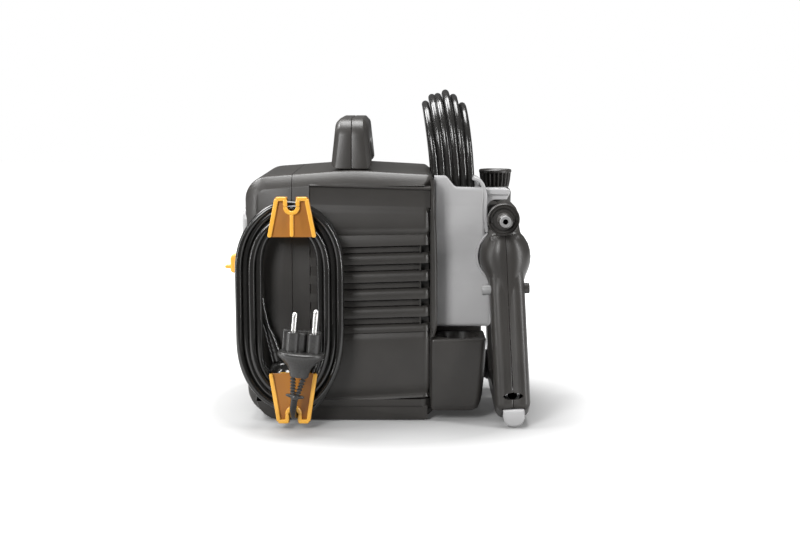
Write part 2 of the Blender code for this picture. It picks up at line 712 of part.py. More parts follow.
def lance_pocket(dark):
    outline = rounded((
        (HOLDER_FRONT, POCKET_BOTTOM, 2.0),
        (POCKET_BACK - 8, POCKET_BOTTOM, 3.0),
        (POCKET_BACK - 3, POCKET_BOTTOM + 12, 8.0),
        (POCKET_BACK, POCKET_TOP, 4.0),
        (HOLDER_FRONT, POCKET_TOP, 2.0),
    ))
    pocket = prism("lance_pocket", outline, "XZ", POCKET_NEAR, POCKET_FAR, dark)
    well = rod("pocket_well", (*POCKET_HOLE, POCKET_TOP - POCKET_DEPTH), (*POCKET_HOLE, POCKET_TOP + 10),
               POCKET_HOLE_RADIUS, sides=28)
    carve(pocket, well)


def lance(dark):
    """Lance tube with its bell resting on the clip, and the ring turned to set the spray."""
    profile = ((LANCE_RADIUS - 1, LANCE_BOTTOM), (LANCE_RADIUS, LANCE_BOTTOM + 2),
               (LANCE_RADIUS, CLIP_TOP + GAP), (14.0, CLIP_TOP + GAP), (16.5, CLIP_TOP + 6),
               (16.5, RING_BOTTOM - 4), (14.0, RING_BOTTOM - GAP), (LANCE_RADIUS, RING_BOTTOM - GAP),
               (LANCE_RADIUS, RING_TOP - 4))
    turned("lance_tube", profile, (*LANCE, 0), (0, 0, 1), dark, 24)
    inner = LANCE_RADIUS + GAP
    ring = ((inner, RING_BOTTOM), (13.0, RING_BOTTOM), (16.5, RING_TOP - 3), (15.5, RING_TOP),
            (inner, RING_TOP))
    turned("nozzle_ring", ring, (*LANCE, 0), (0, 0, 1), dark, 28, ring=True, origin=(*LANCE, RING_BOTTOM))


def gun_corners():
    """Side outline of the gun in its own frame: base, rear grip, head and front column."""
    return (
        (-113.0, -168.0, 8.0),
        (-90.0, -181.0, 8.0),
        (22.0, -172.0, 14.0),
        (34.0, -20.0, 10.0),
        (34.0, 17.0, 8.0),
        (-46.0, 17.5, 4.0),
        (-56.0, 24.0, 8.0),
        (GUN_NOSE, 24.0, 3.0),
        (GUN_NOSE, -20.0, 2.0),
        (-91.0, -60.0, 20.0),
    )


def gun_window():
    """Finger opening between the column and the grip."""
    return (
        (-88.0, -156.0, 8.0),
        (-12.0, -152.0, 12.0),
        (-4.0, -26.0, 12.0),
        (-64.0, -26.0, 8.0),
        (-68.0, -60.0, 10.0),
    )


def gun_shells(dark, frame):
    """Left and right shells of the gun, hollow, with bulb, window and holes."""
    halves = {"gun_left_shell": -1.0, "gun_right_shell": 1.0}
    for name, side in halves.items():
        end = side * GUN_HALF_WIDTH
        shell = prism(name, rounded(gun_corners()), "YZ", -side * 2.0, end, dark,
                      holes=(rounded(gun_window()),), parent=frame)
        bulb_profile = ((9.0, 0.0), (18.0, 3.0), (GUN_BULB_RADIUS, 12.0), (GUN_BULB_RADIUS, 20.0),
                        (16.0, 26.0))
        bulb = turned(name + "_bulb", bulb_profile, GUN_BULB, (0, 1, 0), None, 32, parent=frame)
        cavity = prism(name + "_cavity", rounded(gun_corners(), GUN_WALL), "YZ", -side * 4.0,
                       end - side * GUN_WALL, None, holes=(rounded(gun_window(), -GUN_WALL),), parent=frame)
        seam = side * GAP / 2
        other = box(name + "_other", (min(seam, -side * 40), -140, -200), (max(seam, -side * 40), 60, 40),
                    parent=frame)
        carve(shell, bulb, "UNION")
        carve(shell, cavity)
        carve(shell, other)
        cut_gun_holes(shell, name, frame)


def cut_gun_holes(shell, name, frame):
    """Nozzle mouth, hose port, release tab slot, trigger slot and lock pin hole."""
    mouth = rod(name + "_mouth", (0, GUN_NOSE - 10, GUN_NOZZLE_Z), (0, GUN_NOSE + 6, GUN_NOZZLE_Z),
                NOZZLE_BORE + GAP, parent=frame)
    port = rod(name + "_port", (0, -120, GUN_PORT_Z), (0, -102, GUN_PORT_Z), 7.0 + GAP, parent=frame)
    tab = box(name + "_tab_slot", (-10.6, -120, -190), (10.6, -98.0, -167.6), parent=frame)
    slot = box(name + "_trigger_slot", (-7.5, -46, -32), (7.5, -16, -20), parent=frame)
    pin = rod(name + "_pin_hole", (-30, *LOCK_PIN), (30, *LOCK_PIN), 5.0 + GAP, sides=16, parent=frame)
    for cutter in (mouth, port, tab, slot, pin):
        carve(shell, cutter)


def gun_inner_parts(dark, grey, steel, brass, frame):
    """Nozzle socket, valve, feed pipe, hose port, trigger, lock pin and hose release tab."""
    reach = GUN_NOSE - GUN_STUB_TIP
    connector = ((2.5, 0.0), (5.0, 0.0), (7.0, 3.0), (7.0, reach - 6), (14.0, reach - 6), (15.0, reach - 4),
                 (15.0, reach - GAP), (NOZZLE_BORE, reach - GAP), (NOZZLE_BORE, reach + 6), (2.5, reach + 6))
    turned("gun_connector", connector, (0, GUN_STUB_TIP, GUN_NOZZLE_Z), (0, 1, 0), dark, 28, ring=True,
           parent=frame)
    valve = ((VALVE_RADIUS - 2, 0.0), (VALVE_RADIUS, 2.0), (VALVE_RADIUS, VALVE_LENGTH - 2),
             (VALVE_RADIUS - 2, VALVE_LENGTH))
    valve_start = GUN_NOSE + 6 + GAP
    turned("gun_valve_body", valve, (0, valve_start, GUN_NOZZLE_Z), (0, 1, 0), brass, 24, parent=frame)
    valve_end = valve_start + VALVE_LENGTH + GAP
    rod("gun_valve_pin", (0, valve_end, GUN_NOZZLE_Z), (0, valve_end + 16, GUN_NOZZLE_Z), 2.0, steel, 16,
        parent=frame)
    rod("gun_feed_pipe", (0, -97.0, -144.0), (0, -82.5, -75.0), 4.0, steel, 16, parent=frame)
    turned("gun_hose_port", ((4.5, 0.0), (7.0, 0.0), (7.0, 8.0), (4.5, 8.0)), (0, -111.0, GUN_PORT_Z),
           (0, 1, 0), brass, 20, ring=True, parent=frame)
    trigger_outline = rounded(((-40.0, -114.0, 3.0), (-31.0, -114.0, 3.0), (-22.0, -40.0, 20.0),
                               (-22.0, -10.0, 4.0), (-38.0, -10.0, 4.0), (-36.0, -40.0, 20.0)))
    prism("gun_trigger", trigger_outline, "YZ", -6.5, 6.5, grey, parent=frame, origin=TRIGGER_PIVOT)
    left, right = LOCK_PIN_ENDS
    pin = ((4.5, left), (5.0, left + 0.5), (5.0, right - 0.5), (4.5, right))
    turned("gun_lock_pin", pin, (0, *LOCK_PIN), (1, 0, 0), dark, 20, parent=frame, origin=(0, *LOCK_PIN))
    tab_outline = rounded(((-10.0, -183.0, 7.0), (10.0, -183.0, 7.0), (10.0, -168.0, 2.0),
                           (-10.0, -168.0, 2.0)))
    prism("hose_release_tab", tab_outline, "XZ", -114.0, -107.0, grey, parent=frame)


def water_inlet(dark, grey, steel):
    """Inlet nipple through the rear wall, its filter, a collar ring and the hose coupling."""
    root = (BODY_REAR, INLET_Y, INLET_Z)
    turned("inlet_nipple", ((5.0, -14.0), (9.0, -14.0), (9.0, 30.0), (5.0, 30.0)), root, (1, 0, 0), dark,
           24, ring=True)
    turned("inlet_filter", ((1.5, -10.0), (4.6, -10.0), (4.6, 8.0), (1.5, 8.0)), root, (1, 0, 0), steel,
           20, ring=True)
    turned("inlet_ring", ((9.3, 24.0), (20.0, 24.0), (20.0, 29.7), (9.3, 29.7)), root, (1, 0, 0), grey,
           24, ring=True)
    start = BODY_REAR + 30.3
    reach = INLET_TIP_X - start
    collar = ((7.0, 0.0), (16.0, 0.0), (18.0, 3.0), (18.0, reach - 3), (15.0, reach), (7.0, reach))
    turned("inlet_collar", collar, (start, INLET_Y, INLET_Z), (1, 0, 0), dark, 28, ring=True,
           origin=(start, INLET_Y, INLET_Z))


def motor(steel, copper, dark):
    """Upright motor: stator, rotor on its shaft, cooling fan above, wobble plate below."""
    centre = (MOTOR_X, MOTOR_Y, 0)
    sleeve("motor_stator", (MOTOR_X, MOTOR_Y, 118), (MOTOR_X, MOTOR_Y, 186), 25.0, 42.0, copper, 32)
    sleeve("motor_rotor", (MOTOR_X, MOTOR_Y, 122), (MOTOR_X, MOTOR_Y, 182), 5.3, 23.5, steel, 28)
    rod("motor_shaft", (MOTOR_X, MOTOR_Y, 90), (MOTOR_X, MOTOR_Y, 212), 5.0, steel, 20,
        origin=(MOTOR_X, MOTOR_Y, 150))
    hub = ((5.3, 192.0), (14.0, 192.0), (40.0, 194.0), (40.0, 196.0), (14.0, 206.0), (5.3, 206.0))
    fan = turned("cooling_fan", hub, centre, (0, 0, 1), dark, 24, ring=True)
    for blade in range(6):
        vane = box(f"fan_blade_{blade}", (12.0, -1.2, 195.0), (38.0, 1.2, 206.0))
        turn = Matrix.Rotation(blade * math.pi / 3, 4, "Z")
        vane.data.transform(turn)
        vane.location = (MOTOR_X * MM, MOTOR_Y * MM, 0)
        carve(fan, vane, "UNION")
    plate = ((5.8, -2.0), (24.0, -2.0), (24.0, 2.0), (5.8, 2.0))
    tilt = Matrix.Rotation(math.radians(5), 4, "X")
    wobble = turned("wobble_plate", plate, (0, 0, 0), (0, 0, 1), steel, 28, ring=True)
    wobble.data.transform(tilt)
    wobble.location = (MOTOR_X * MM, MOTOR_Y * MM, 100 * MM)


def pump(brass, steel, aluminium):
    """Axial pump under the motor: block with three bores, pistons, springs and head."""
    block = rod("pump_block", (MOTOR_X, MOTOR_Y, 42), (MOTOR_X, MOTOR_Y, 76), 34.0, aluminium, 32)
    for number in range(1, PISTON_COUNT + 1):
        angle = 2 * math.pi * number / PISTON_COUNT
        x = MOTOR_X + PISTON_CIRCLE * math.cos(angle)
        y = MOTOR_Y + PISTON_CIRCLE * math.sin(angle)
        bore = rod(f"piston_bore_{number}", (x, y, 50), (x, y, 90), PISTON_RADIUS + GAP, sides=20)
        carve(block, bore)
        piston_profile = ((PISTON_RADIUS, 56.0), (PISTON_RADIUS, 90.0), (9.0, 90.0), (9.0, 93.0))
        turned(f"piston_{number}", piston_profile, (x, y, 0), (0, 0, 1), steel, 20)
        sleeve(f"piston_spring_{number}", (x, y, 76 + GAP), (x, y, 90 - GAP), PISTON_RADIUS + 1, 8.5,
               steel, 20)
    head = box("pump_head", (MOTOR_X - 30, MOTOR_Y - 30, 12), (MOTOR_X + 30, MOTOR_Y + 30, 42 - GAP), brass,
               bevel=3.0)
    channel = rod("head_channel", (MOTOR_X, MOTOR_Y - 40, 27), (MOTOR_X, MOTOR_Y + 40, 27), 5.0, sides=16)
    carve(head, channel)


def electrics(dark, aluminium):
    rod("capacitor", (-48, 80, 130), (-48, 80, 190), 15.0, aluminium, 24)
    box("pressure_switch", (-52, -20, 40), (-36, 10, 70), dark, bevel=2.0)


def main():
    clear_scene()
    dark = plastic("dark_plastic", (0.07, 0.065, 0.06), 0.55)
    grey = plastic("light_grey_plastic", (0.4, 0.4, 0.4), 0.45)
    orange = plastic("orange_plastic", (0.85, 0.36, 0.03), 0.4)
    cord = plastic("black_pvc", (0.015, 0.015, 0.015), 0.3)
    rubber = plastic("black_rubber", (0.02, 0.02, 0.02), 0.8)
    steel = plastic("steel", (0.6, 0.6, 0.6), 0.3, 1.0)
    brass = plastic("brass", (0.7, 0.5, 0.25), 0.3, 1.0)
    copper = plastic("copper_winding", (0.6, 0.3, 0.15), 0.4, 1.0)
    aluminium = plastic("aluminium", (0.75, 0.75, 0.76), 0.35, 1.0)
    housing_shells(dark)
    shell_screws(steel)
    handle_halves(dark)
    feet(rubber)
    rotary_switch(grey, orange, dark)
    cord_hooks(orange)
    mains_cord(dark, cord)
    accessory_holder(grey)
    hose(cord, brass)
    lance_pocket(dark)
    lance(dark)
    gun_frame = empty("gun_frame", GUN_ORIGIN, GUN_LEAN)
    gun_shells(dark, gun_frame)
    gun_inner_parts(dark, grey, steel, brass, gun_frame)
    water_inlet(dark, grey, steel)
    motor(steel, copper, dark)
    pump(brass, steel, aluminium)
    electrics(dark, aluminium)


main()
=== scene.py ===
"""Looks of a compact electric pressure washer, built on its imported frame.

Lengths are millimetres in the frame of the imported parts, turned into metres by MM: X runs
from the front to the rear, Y from the near side to the far side, Z up.
"""
import json
import math

import bmesh
import bpy
from mathutils import Matrix, Vector


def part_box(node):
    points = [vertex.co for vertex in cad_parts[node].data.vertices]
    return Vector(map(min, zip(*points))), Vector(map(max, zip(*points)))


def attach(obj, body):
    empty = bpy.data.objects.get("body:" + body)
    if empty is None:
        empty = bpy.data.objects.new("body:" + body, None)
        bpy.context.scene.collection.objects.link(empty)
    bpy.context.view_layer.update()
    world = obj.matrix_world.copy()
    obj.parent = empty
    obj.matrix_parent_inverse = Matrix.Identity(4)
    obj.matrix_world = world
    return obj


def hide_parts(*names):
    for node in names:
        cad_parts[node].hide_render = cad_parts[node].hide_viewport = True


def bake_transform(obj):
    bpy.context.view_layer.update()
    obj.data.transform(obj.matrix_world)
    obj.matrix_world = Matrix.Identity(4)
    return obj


MM = 0.001
SHARP_ANGLE = 35.0

# Camera: where it stands, its tilt from straight down in degrees, and its lens.
CAMERA_PLACE = (26.0, -1360.0, 317.0)
CAMERA_TILT = 82.5
CAMERA_LENS = 61.6

# Floor under and behind the object, and lights: name, place, target and size in metres, power in watts.
WHITE = (1.0, 1.0, 1.0, 1.0)
FLOOR_HALF = 2400.0
FLOOR_CENTRE_Y = 1940.0
LIGHTS = (
    ("key", (-0.7, -1.5, 1.0), (0, 0, 0.12), (0.5, 0.8), 32.0),
    ("top", (0.0, 0.25, 1.7), (0, 0, 0.1), (1.0, 0.9), 44.0),
    ("edge", (-0.9, 0.35, 1.3), (0, 0, 0.2), (0.8, 0.5), 26.0),
    ("left_strip", (-1.2, -0.45, 0.56), (0, 0, 0.56), (0.05, 1.1), 9.0),
    ("right_strip", (1.2, -0.6, 0.56), (0, 0, 0.56), (0.06, 1.1), 15.0),
)

# Mains cord: hank of turns wound in columns, from the inside out.
CORD_RADIUS = 3.25
CORD_EXIT = (-90.0, -90.6, 66.0)
HANK_CENTRE_X = -76.5
HANK_TOP = 209.5
HANK_BOTTOM = 17.5
HANK_HALF = 47.0
HANK_COLUMNS = 4
COLUMN_PITCH = 6.1
HANK_BACK_Y = -90.8
LAYER_PITCH = 6.8
TURNS_PER_COLUMN = 3
HANK_TOP_REACH = 58.0
HANK_BOTTOM_REACH = 66.0
TIGHTEST_BEND = 24.0
POINTS_PER_TURN = 120
LAST_TURN_SHARE = 0.60
CROSSING_START = 0.12
CROSSING_SHARE = 0.26
HANK_WANDER = 0.55
HANK_SWAY = 0.35
MAINS_LEAD = (CORD_EXIT, (-93.2, -90.7, 76.0), (-97.6, -90.8, 88.0), (-101.6, -90.8, 102.0),
              (-104.2, -90.8, 118.0), (-105.2, -90.8, 136.0))
MAINS_TAIL = ((-48.5, -91.2, 23.0), (-54.6, -91.4, 16.4), (-61.5, -93.8, 12.2), (-67.6, -98.6, 10.2),
              (-71.4, -105.0, 9.9), (-73.0, -112.2, 10.6), (-73.2, -119.6, 13.6), (-73.0, -126.0, 18.8),
              (-72.2, -130.6, 26.0), (-70.9, -131.0, 32.4))
PLUG_BASE = (-67.0, -131.0, 33.0)
PLUG_LEAN = 5.0
RELIEF_BASE = (-70.8, -131.0, 33.0)
RELIEF_LEAN = 10.0

# Hose: turns standing side by side in the holder, fanned out above it.
HOSE_RADIUS = 3.6
HOSE_OUTLET = (72.0, -46.0, 103.5)
HOSE_TURNS = 6
HOSE_FIRST_X = 61.2
HOSE_PITCH = 6.9
HOSE_NEAR_Y = -34.2
HOSE_FAR_Y = 72.2
HOSE_LOW_Z = 94.0
HOSE_FAN_START = 205.0
HOSE_FAN_POWER = 1.7
HOSE_UNWOUND = 0.42
HOSE_CROSSING = 0.6
HOSE_SWAY = 0.8
HOSE_JOIN_Z = 190.0
HOSE_LEAD = (HOSE_OUTLET, (72.0, -46.0, 112.0), (71.2, -46.0, 126.0), (67.6, -44.6, 145.0),
             (63.6, -40.6, 164.0))
HOSE_TAIL = ((95.6, 72.6, 176.0), (94.8, 74.6, 160.0), (91.6, 79.0, 145.0), (85.4, 82.4, 132.0),
             (82.4, 83.0, 124.0), (82.2, 83.0, 119.3))
HOSE_TOPS = ((50.6, 300.2), (57.6, 306.8), (64.2, 307.6), (70.6, 311.0), (78.6, 306.9), (88.6, 298.4))

# Piston springs.
SPRING_WIRE = 0.7
SPRING_TURNS = 5

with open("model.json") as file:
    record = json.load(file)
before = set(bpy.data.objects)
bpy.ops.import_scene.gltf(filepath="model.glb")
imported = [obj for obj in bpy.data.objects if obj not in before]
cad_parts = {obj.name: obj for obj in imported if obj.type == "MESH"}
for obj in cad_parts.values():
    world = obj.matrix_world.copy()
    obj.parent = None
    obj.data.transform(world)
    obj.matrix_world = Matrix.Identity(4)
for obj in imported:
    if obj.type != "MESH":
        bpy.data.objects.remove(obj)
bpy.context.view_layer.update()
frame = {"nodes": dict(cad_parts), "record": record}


# ---------------------------------------------------------------- shapes

def ease(part):
    """Smooth step from 0 to 1."""
    part = min(max(part, 0.0), 1.0)
    return part * part * (3 - 2 * part)


def between(value, table):
    """Straight-line reading of a table of (key, value) pairs with rising keys."""
    for (key_a, value_a), (key_b, value_b) in zip(table, table[1:]):
        if value <= key_b:
            part = max(value - key_a, 0.0) / (key_b - key_a)
            return value_a + (value_b - value_a) * part
    return table[-1][1]


def limits(node):
    """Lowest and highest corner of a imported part, in millimetres."""
    low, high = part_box(node)
    return low / MM, high / MM


def centre_of(node):
    """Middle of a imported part's box, in millimetres."""
    low, high = limits(node)
    return (low + high) / 2


def rounded(corners, inset=0.0, steps=8):
    """Counter-clockwise outline through (u, v, radius) corners, drawn inset from its edges."""
    points = []
    for index, (u, v, radius) in enumerate(corners):
        here = Vector((u, v))
        back = (Vector(corners[index - 1][:2]) - here).normalized()
        ahead = (Vector(corners[(index + 1) % len(corners)][:2]) - here).normalized()
        half = back.angle(ahead) / 2
        toward = (back + ahead).normalized()
        side = 1.0 if ahead.cross(back) > 0 else -1.0
        corner = here + toward * (side * inset / math.sin(half))
        bend = max(radius - side * inset, 0.4)
        centre = corner + toward * (bend / math.sin(half))
        first = corner + back * (bend / math.tan(half)) - centre
        last = corner + ahead * (bend / math.tan(half)) - centre
        start = math.atan2(first.y, first.x)
        sweep = math.atan2(last.y, last.x) - start
        sweep = (sweep + math.pi) % (2 * math.pi) - math.pi
        for step in range(steps + 1):
            angle = start + sweep * step / steps
            points.append((centre.x + bend * math.cos(angle), centre.y + bend * math.sin(angle)))
    return points


def ellipse(half_u, half_v, count, middle=0.0):
    """Points round an ellipse, which may be moved along u."""
    turns = [2 * math.pi * step / count for step in range(count)]
    return [(middle + half_u * math.cos(turn), half_v * math.sin(turn)) for turn in turns]


def add_object(name, data):
    item = bpy.data.objects.new(name, data)
    bpy.context.scene.collection.objects.link(item)
    return item


def sharpen(item, angle=SHARP_ANGLE):
    """Smooth shading, except over edges steeper than an angle."""
    item.data.shade_smooth()
    item.data.set_sharp_from_angle(angle=math.radians(angle))
    return item


def new_piece(name, shape, material, angle=SHARP_ANGLE):
    """Turn a bmesh drawn in millimetres into an object in metres."""
    bmesh.ops.scale(shape, verts=shape.verts, vec=(MM, MM, MM))
    bmesh.ops.recalc_face_normals(shape, faces=shape.faces)
    mesh = bpy.data.meshes.new(name)
    shape.to_mesh(mesh)
    shape.free()
    mesh.materials.append(material)
    return sharpen(add_object(name, mesh), angle)


def seat(item, body, slot, *nodes):
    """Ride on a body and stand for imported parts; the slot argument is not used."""
    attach(item, body)
    if nodes:
        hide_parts(*nodes)
    return item


def loft(name, loops, material, ring=False, angle=SHARP_ANGLE):
    """Skin a row of loops with equal point counts, closed by end faces or into a ring."""
    shape = bmesh.new()
    rows = [[shape.verts.new(point) for point in loop] for loop in loops]
    pairs = list(zip(rows, rows[1:]))
    if ring:
        pairs.append((rows[-1], rows[0]))
    for near, far in pairs:
        for index, here in enumerate(near):
            after = (index + 1) % len(near)
            shape.faces.new((here, near[after], far[after], far[index]))
    if not ring:
        shape.faces.new(rows[0])
        shape.faces.new(rows[-1])
    return new_piece(name, shape, material, angle)


def sheet(name, rows, material, angle, thickness):
    """Relief sheet through rows of points, with a modifier that thickens it backwards."""
    shape = bmesh.new()
    grid = [[shape.verts.new(point) for point in row] for row in rows]
    for first, second in zip(grid, grid[1:]):
        for index in range(len(first) - 1):
            shape.faces.new((first[index], first[index + 1], second[index + 1], second[index]))
    item = new_piece(name, shape, material, angle)
    thick = item.modifiers.new("wall", "SOLIDIFY")
    thick.thickness = thickness * MM
    thick.offset = -1.0
    return item


def turned(name, profile, start, axis, material, sides=48, ring=False, wave=None):
    """Turn (radius, height) points about an axis; wave(angle, height) may change the radius."""
    swing = Vector((0, 0, 1)).rotation_difference(Vector(axis)).to_matrix()
    loops = []
    for radius, height in profile:
        loop = []
        for side in range(sides):
            turn = 2 * math.pi * side / sides
            reach = radius + (wave(turn, height) if wave else 0.0)
            point = Vector((reach * math.cos(turn), reach * math.sin(turn), height))
            loop.append(Vector(start) + swing @ point)
        loops.append(loop)
    return loft(name, loops, material, ring)


def spread(outline, plane, depth):
    """Place a flat outline in one of the frame's planes at a depth."""
    if plane == "XZ":
        return [(u, depth, v) for u, v in outline]
    if plane == "YZ":
        return [(depth, u, v) for u, v in outline]
    return [(u, v, depth) for u, v in outline]


def shaped(name, corners, plane, stations, material, steps=8, angle=SHARP_ANGLE):
    """Skin one rounded outline at (depth, inset) stations, which rounds a plate's edges."""
    loops = [spread(rounded(corners, inset, steps), plane, depth) for depth, inset in stations]
    return loft(name, loops, material, angle=angle)


def soft_plate(name, corners, plane, low, high, edge, material, steps=8):
    """Plate with both rims rounded over by a quarter circle of a given radius."""
    bends = [math.radians(turn) for turn in (0, 22.5, 45, 67.5, 90)]
    stations = [(low + edge * (1 - math.cos(bend)), edge * (1 - math.sin(bend))) for bend in bends]
    stations += [(low + high - depth, inset) for depth, inset in reversed(stations)]
    return shaped(name, corners, plane, stations, material, steps)


def block(name, low, high, material, edge=1.0):
    """Box with rounded edges."""
    shape = bmesh.new()
    bmesh.ops.create_cube(shape, size=1.0)
    bmesh.ops.scale(shape, verts=shape.verts, vec=Vector(high) - Vector(low))
    bmesh.ops.translate(shape, verts=shape.verts, vec=(Vector(low) + Vector(high)) / 2)
    if edge:
        bmesh.ops.bevel(shape, geom=shape.edges[:], offset=edge, segments=3, profile=0.5, affect="EDGES")
    return new_piece(name, shape, material)


def rod(name, start, end, radius, material):
    """Round bar between two points."""
    axis = Vector(end) - Vector(start)
    return turned(name, ((radius, 0.0), (radius, axis.length)), start, axis, material, 32)


def baked(item):
    """Mesh that an object's curve or modifiers come to."""
    bpy.context.view_layer.update()
    graph = bpy.context.evaluated_depsgraph_get()
    return bpy.data.meshes.new_from_object(item.evaluated_get(graph))


def carve(target, cutter, operation="DIFFERENCE"):
    """Cut, join or trim one object with another, which is then removed."""
    modifier = target.modifiers.new("carve", "BOOLEAN")
    modifier.operation = operation
    modifier.object = cutter
    target.data = baked(target)
    target.modifiers.remove(modifier)
    bpy.data.objects.remove(cutter)
    return target


def triangulate(item):
    """Split many-sided faces, so that flat faces with openings in them stay as drawn."""
    shape = bmesh.new()
    shape.from_mesh(item.data)
    bmesh.ops.triangulate(shape, faces=shape.faces[:], quad_method="BEAUTY", ngon_method="EAR_CLIP")
    shape.to_mesh(item.data)
    shape.free()


def join(target, *others):
    """Put other objects' meshes into one object, each keeping its own closed surface."""
    shape = bmesh.new()
    shape.from_mesh(target.data)
    for other in others:
        shape.from_mesh(other.data)
        bpy.data.objects.remove(other)
    shape.to_mesh(target.data)
    shape.free()
    return target


def bend_tube(name, route, radius, material, sides=12):
    """Round bar along a route of points, with filled ends."""
    curve = bpy.data.curves.new(name, "CURVE")
    curve.dimensions = "3D"
    curve.bevel_depth = radius * MM
    curve.bevel_resolution = sides // 4
    curve.use_fill_caps = True
    spline = curve.splines.new("POLY")
    spline.points.add(len(route) - 1)
    for knot, point in zip(spline.points, route):
        knot.co = (*(Vector(point) * MM), 1.0)
    curve.materials.append(material)
    return add_object(name, curve)


def catmull(route, step):
    """Points a step apart on a smooth curve through a route's points."""
    knots = [Vector(point) for point in route]
    knots = [2 * knots[0] - knots[1]] + knots + [2 * knots[-1] - knots[-2]]
    points = []
    for p0, p1, p2, p3 in zip(knots, knots[1:], knots[2:], knots[3:]):
        count = max(1, round((p2 - p1).length / step))
        for index in range(count):
            t = index / count
            points.append(0.5 * (2 * p1 + (p2 - p0) * t + (2 * p0 - 5 * p1 + 4 * p2 - p3) * t**2
                                 + (3 * p1 - p0 - 3 * p2 + p3) * t**3))
    points.append(knots[-2])
    return points


def evenly(route, step):
    """Points a step apart along a route."""
    points = [Vector(route[0])]
    for spot in route[1:]:
        while (Vector(spot) - points[-1]).length > step:
            points.append(points[-1] + (Vector(spot) - points[-1]).normalized() * step)
    points.append(Vector(route[-1]))
    return points


def smoothed(route, step=3.2, passes=10):
    """Even route with its corners eased by averaging neighbours, both ends kept."""
    points = evenly(route, step)
    for _ in range(passes):
        inner = [(a + 2 * b + c) / 4 for a, b, c in zip(points, points[1:], points[2:])]
        points = points[:1] + inner + points[-1:]
    return points


# ---------------------------------------------------------------- materials

def with_inputs(node, values):
    """Set a node's inputs by name."""
    for name, value in values.items():
        node.inputs[name].default_value = value
    return node


def shader_of(name, colour, roughness, metallic=0.0):
    """New material with its node tree and its shader."""
    material = bpy.data.materials.new(name)
    material.use_nodes = True
    tree = material.node_tree
    shader = with_inputs(tree.nodes["Principled BSDF"],
                         {"Base Color": (*colour, 1.0), "Roughness": roughness, "Metallic": metallic})
    return material, tree, shader


def pattern_node(tree, kind, stretch=(1.0, 1.0, 1.0)):
    """Texture node that reads the object's own coordinates, stretched."""
    place = tree.nodes.new("ShaderNodeTexCoord")
    size = with_inputs(tree.nodes.new("ShaderNodeMapping"), {"Scale": stretch})
    pattern = tree.nodes.new(kind)
    tree.links.new(place.outputs["Object"], size.inputs["Vector"])
    tree.links.new(size.outputs["Vector"], pattern.inputs["Vector"])
    return pattern


def noise_of(tree, scale, detail, stretch=(1.0, 1.0, 1.0)):
    grain = with_inputs(pattern_node(tree, "ShaderNodeTexNoise", stretch), {"Scale": scale, "Detail": detail})
    return grain.outputs["Fac"]


def ranged(tree, source, low, high):
    """Map the middle of a 0 to 1 value onto a range."""
    node = with_inputs(tree.nodes.new("ShaderNodeMapRange"),
                       {"From Min": 0.3, "From Max": 0.7, "To Min": low, "To Max": high})
    tree.links.new(source, node.inputs["Value"])
    return node.outputs["Result"]


def tint(tree, shader, source, dark, light):
    """Let the base colour drift between two tones with a value."""
    node = tree.nodes.new("ShaderNodeMix")
    node.data_type = "RGBA"
    with_inputs(node, {"A": (*dark, 1.0), "B": (*light, 1.0)})
    tree.links.new(source, node.inputs["Factor"])
    tree.links.new(node.outputs["Result"], shader.inputs["Base Color"])


def bump(tree, shader, source, strength, depth):
    """Raise the surface with a value, by a depth in millimetres."""
    node = with_inputs(tree.nodes.new("ShaderNodeBump"), {"Strength": strength, "Distance": depth * MM})
    tree.links.new(source, node.inputs["Height"])
    tree.links.new(node.outputs["Normal"], shader.inputs["Normal"])


def moulded(name, dark, light, roughness, grain, grain_depth, coat, gloss):
    """Moulded plastic: fine grain, drifting tone and sheen."""
    material, tree, shader = shader_of(name, light, roughness)
    tint(tree, shader, ranged(tree, noise_of(tree, 24.0, 4.0), 0.0, 1.0), dark, light)
    fine = noise_of(tree, grain, 2.0)
    tree.links.new(ranged(tree, fine, roughness - 0.06, roughness + 0.08), shader.inputs["Roughness"])
    bump(tree, shader, fine, 0.5, grain_depth)
    with_inputs(shader, {"Coat Weight": coat, "Coat Roughness": 0.18, "Specular IOR Level": gloss})
    return material


def metal(name, dark, light, roughness, stretch):
    """Metal with drawn or cast streaks."""
    material, tree, shader = shader_of(name, light, roughness, 1.0)
    streaks = noise_of(tree, 420.0, 3.0, stretch)
    tint(tree, shader, ranged(tree, streaks, 0.0, 1.0), dark, light)
    tree.links.new(ranged(tree, streaks, roughness - 0.08, roughness + 0.1), shader.inputs["Roughness"])
    bump(tree, shader, streaks, 0.3, 0.03)
    return material


def winding(name):
    """Lacquered copper wire, wound in rows."""
    material, tree, shader = shader_of(name, (0.5, 0.2, 0.08), 0.35, 1.0)
    rows = with_inputs(pattern_node(tree, "ShaderNodeTexWave"), {"Scale": 320.0})
    rows.bands_direction = "Z"
    tint(tree, shader, rows.outputs["Fac"], (0.28, 0.1, 0.04), (0.66, 0.28, 0.1))
    bump(tree, shader, rows.outputs["Fac"], 0.8, 0.3)
    return material


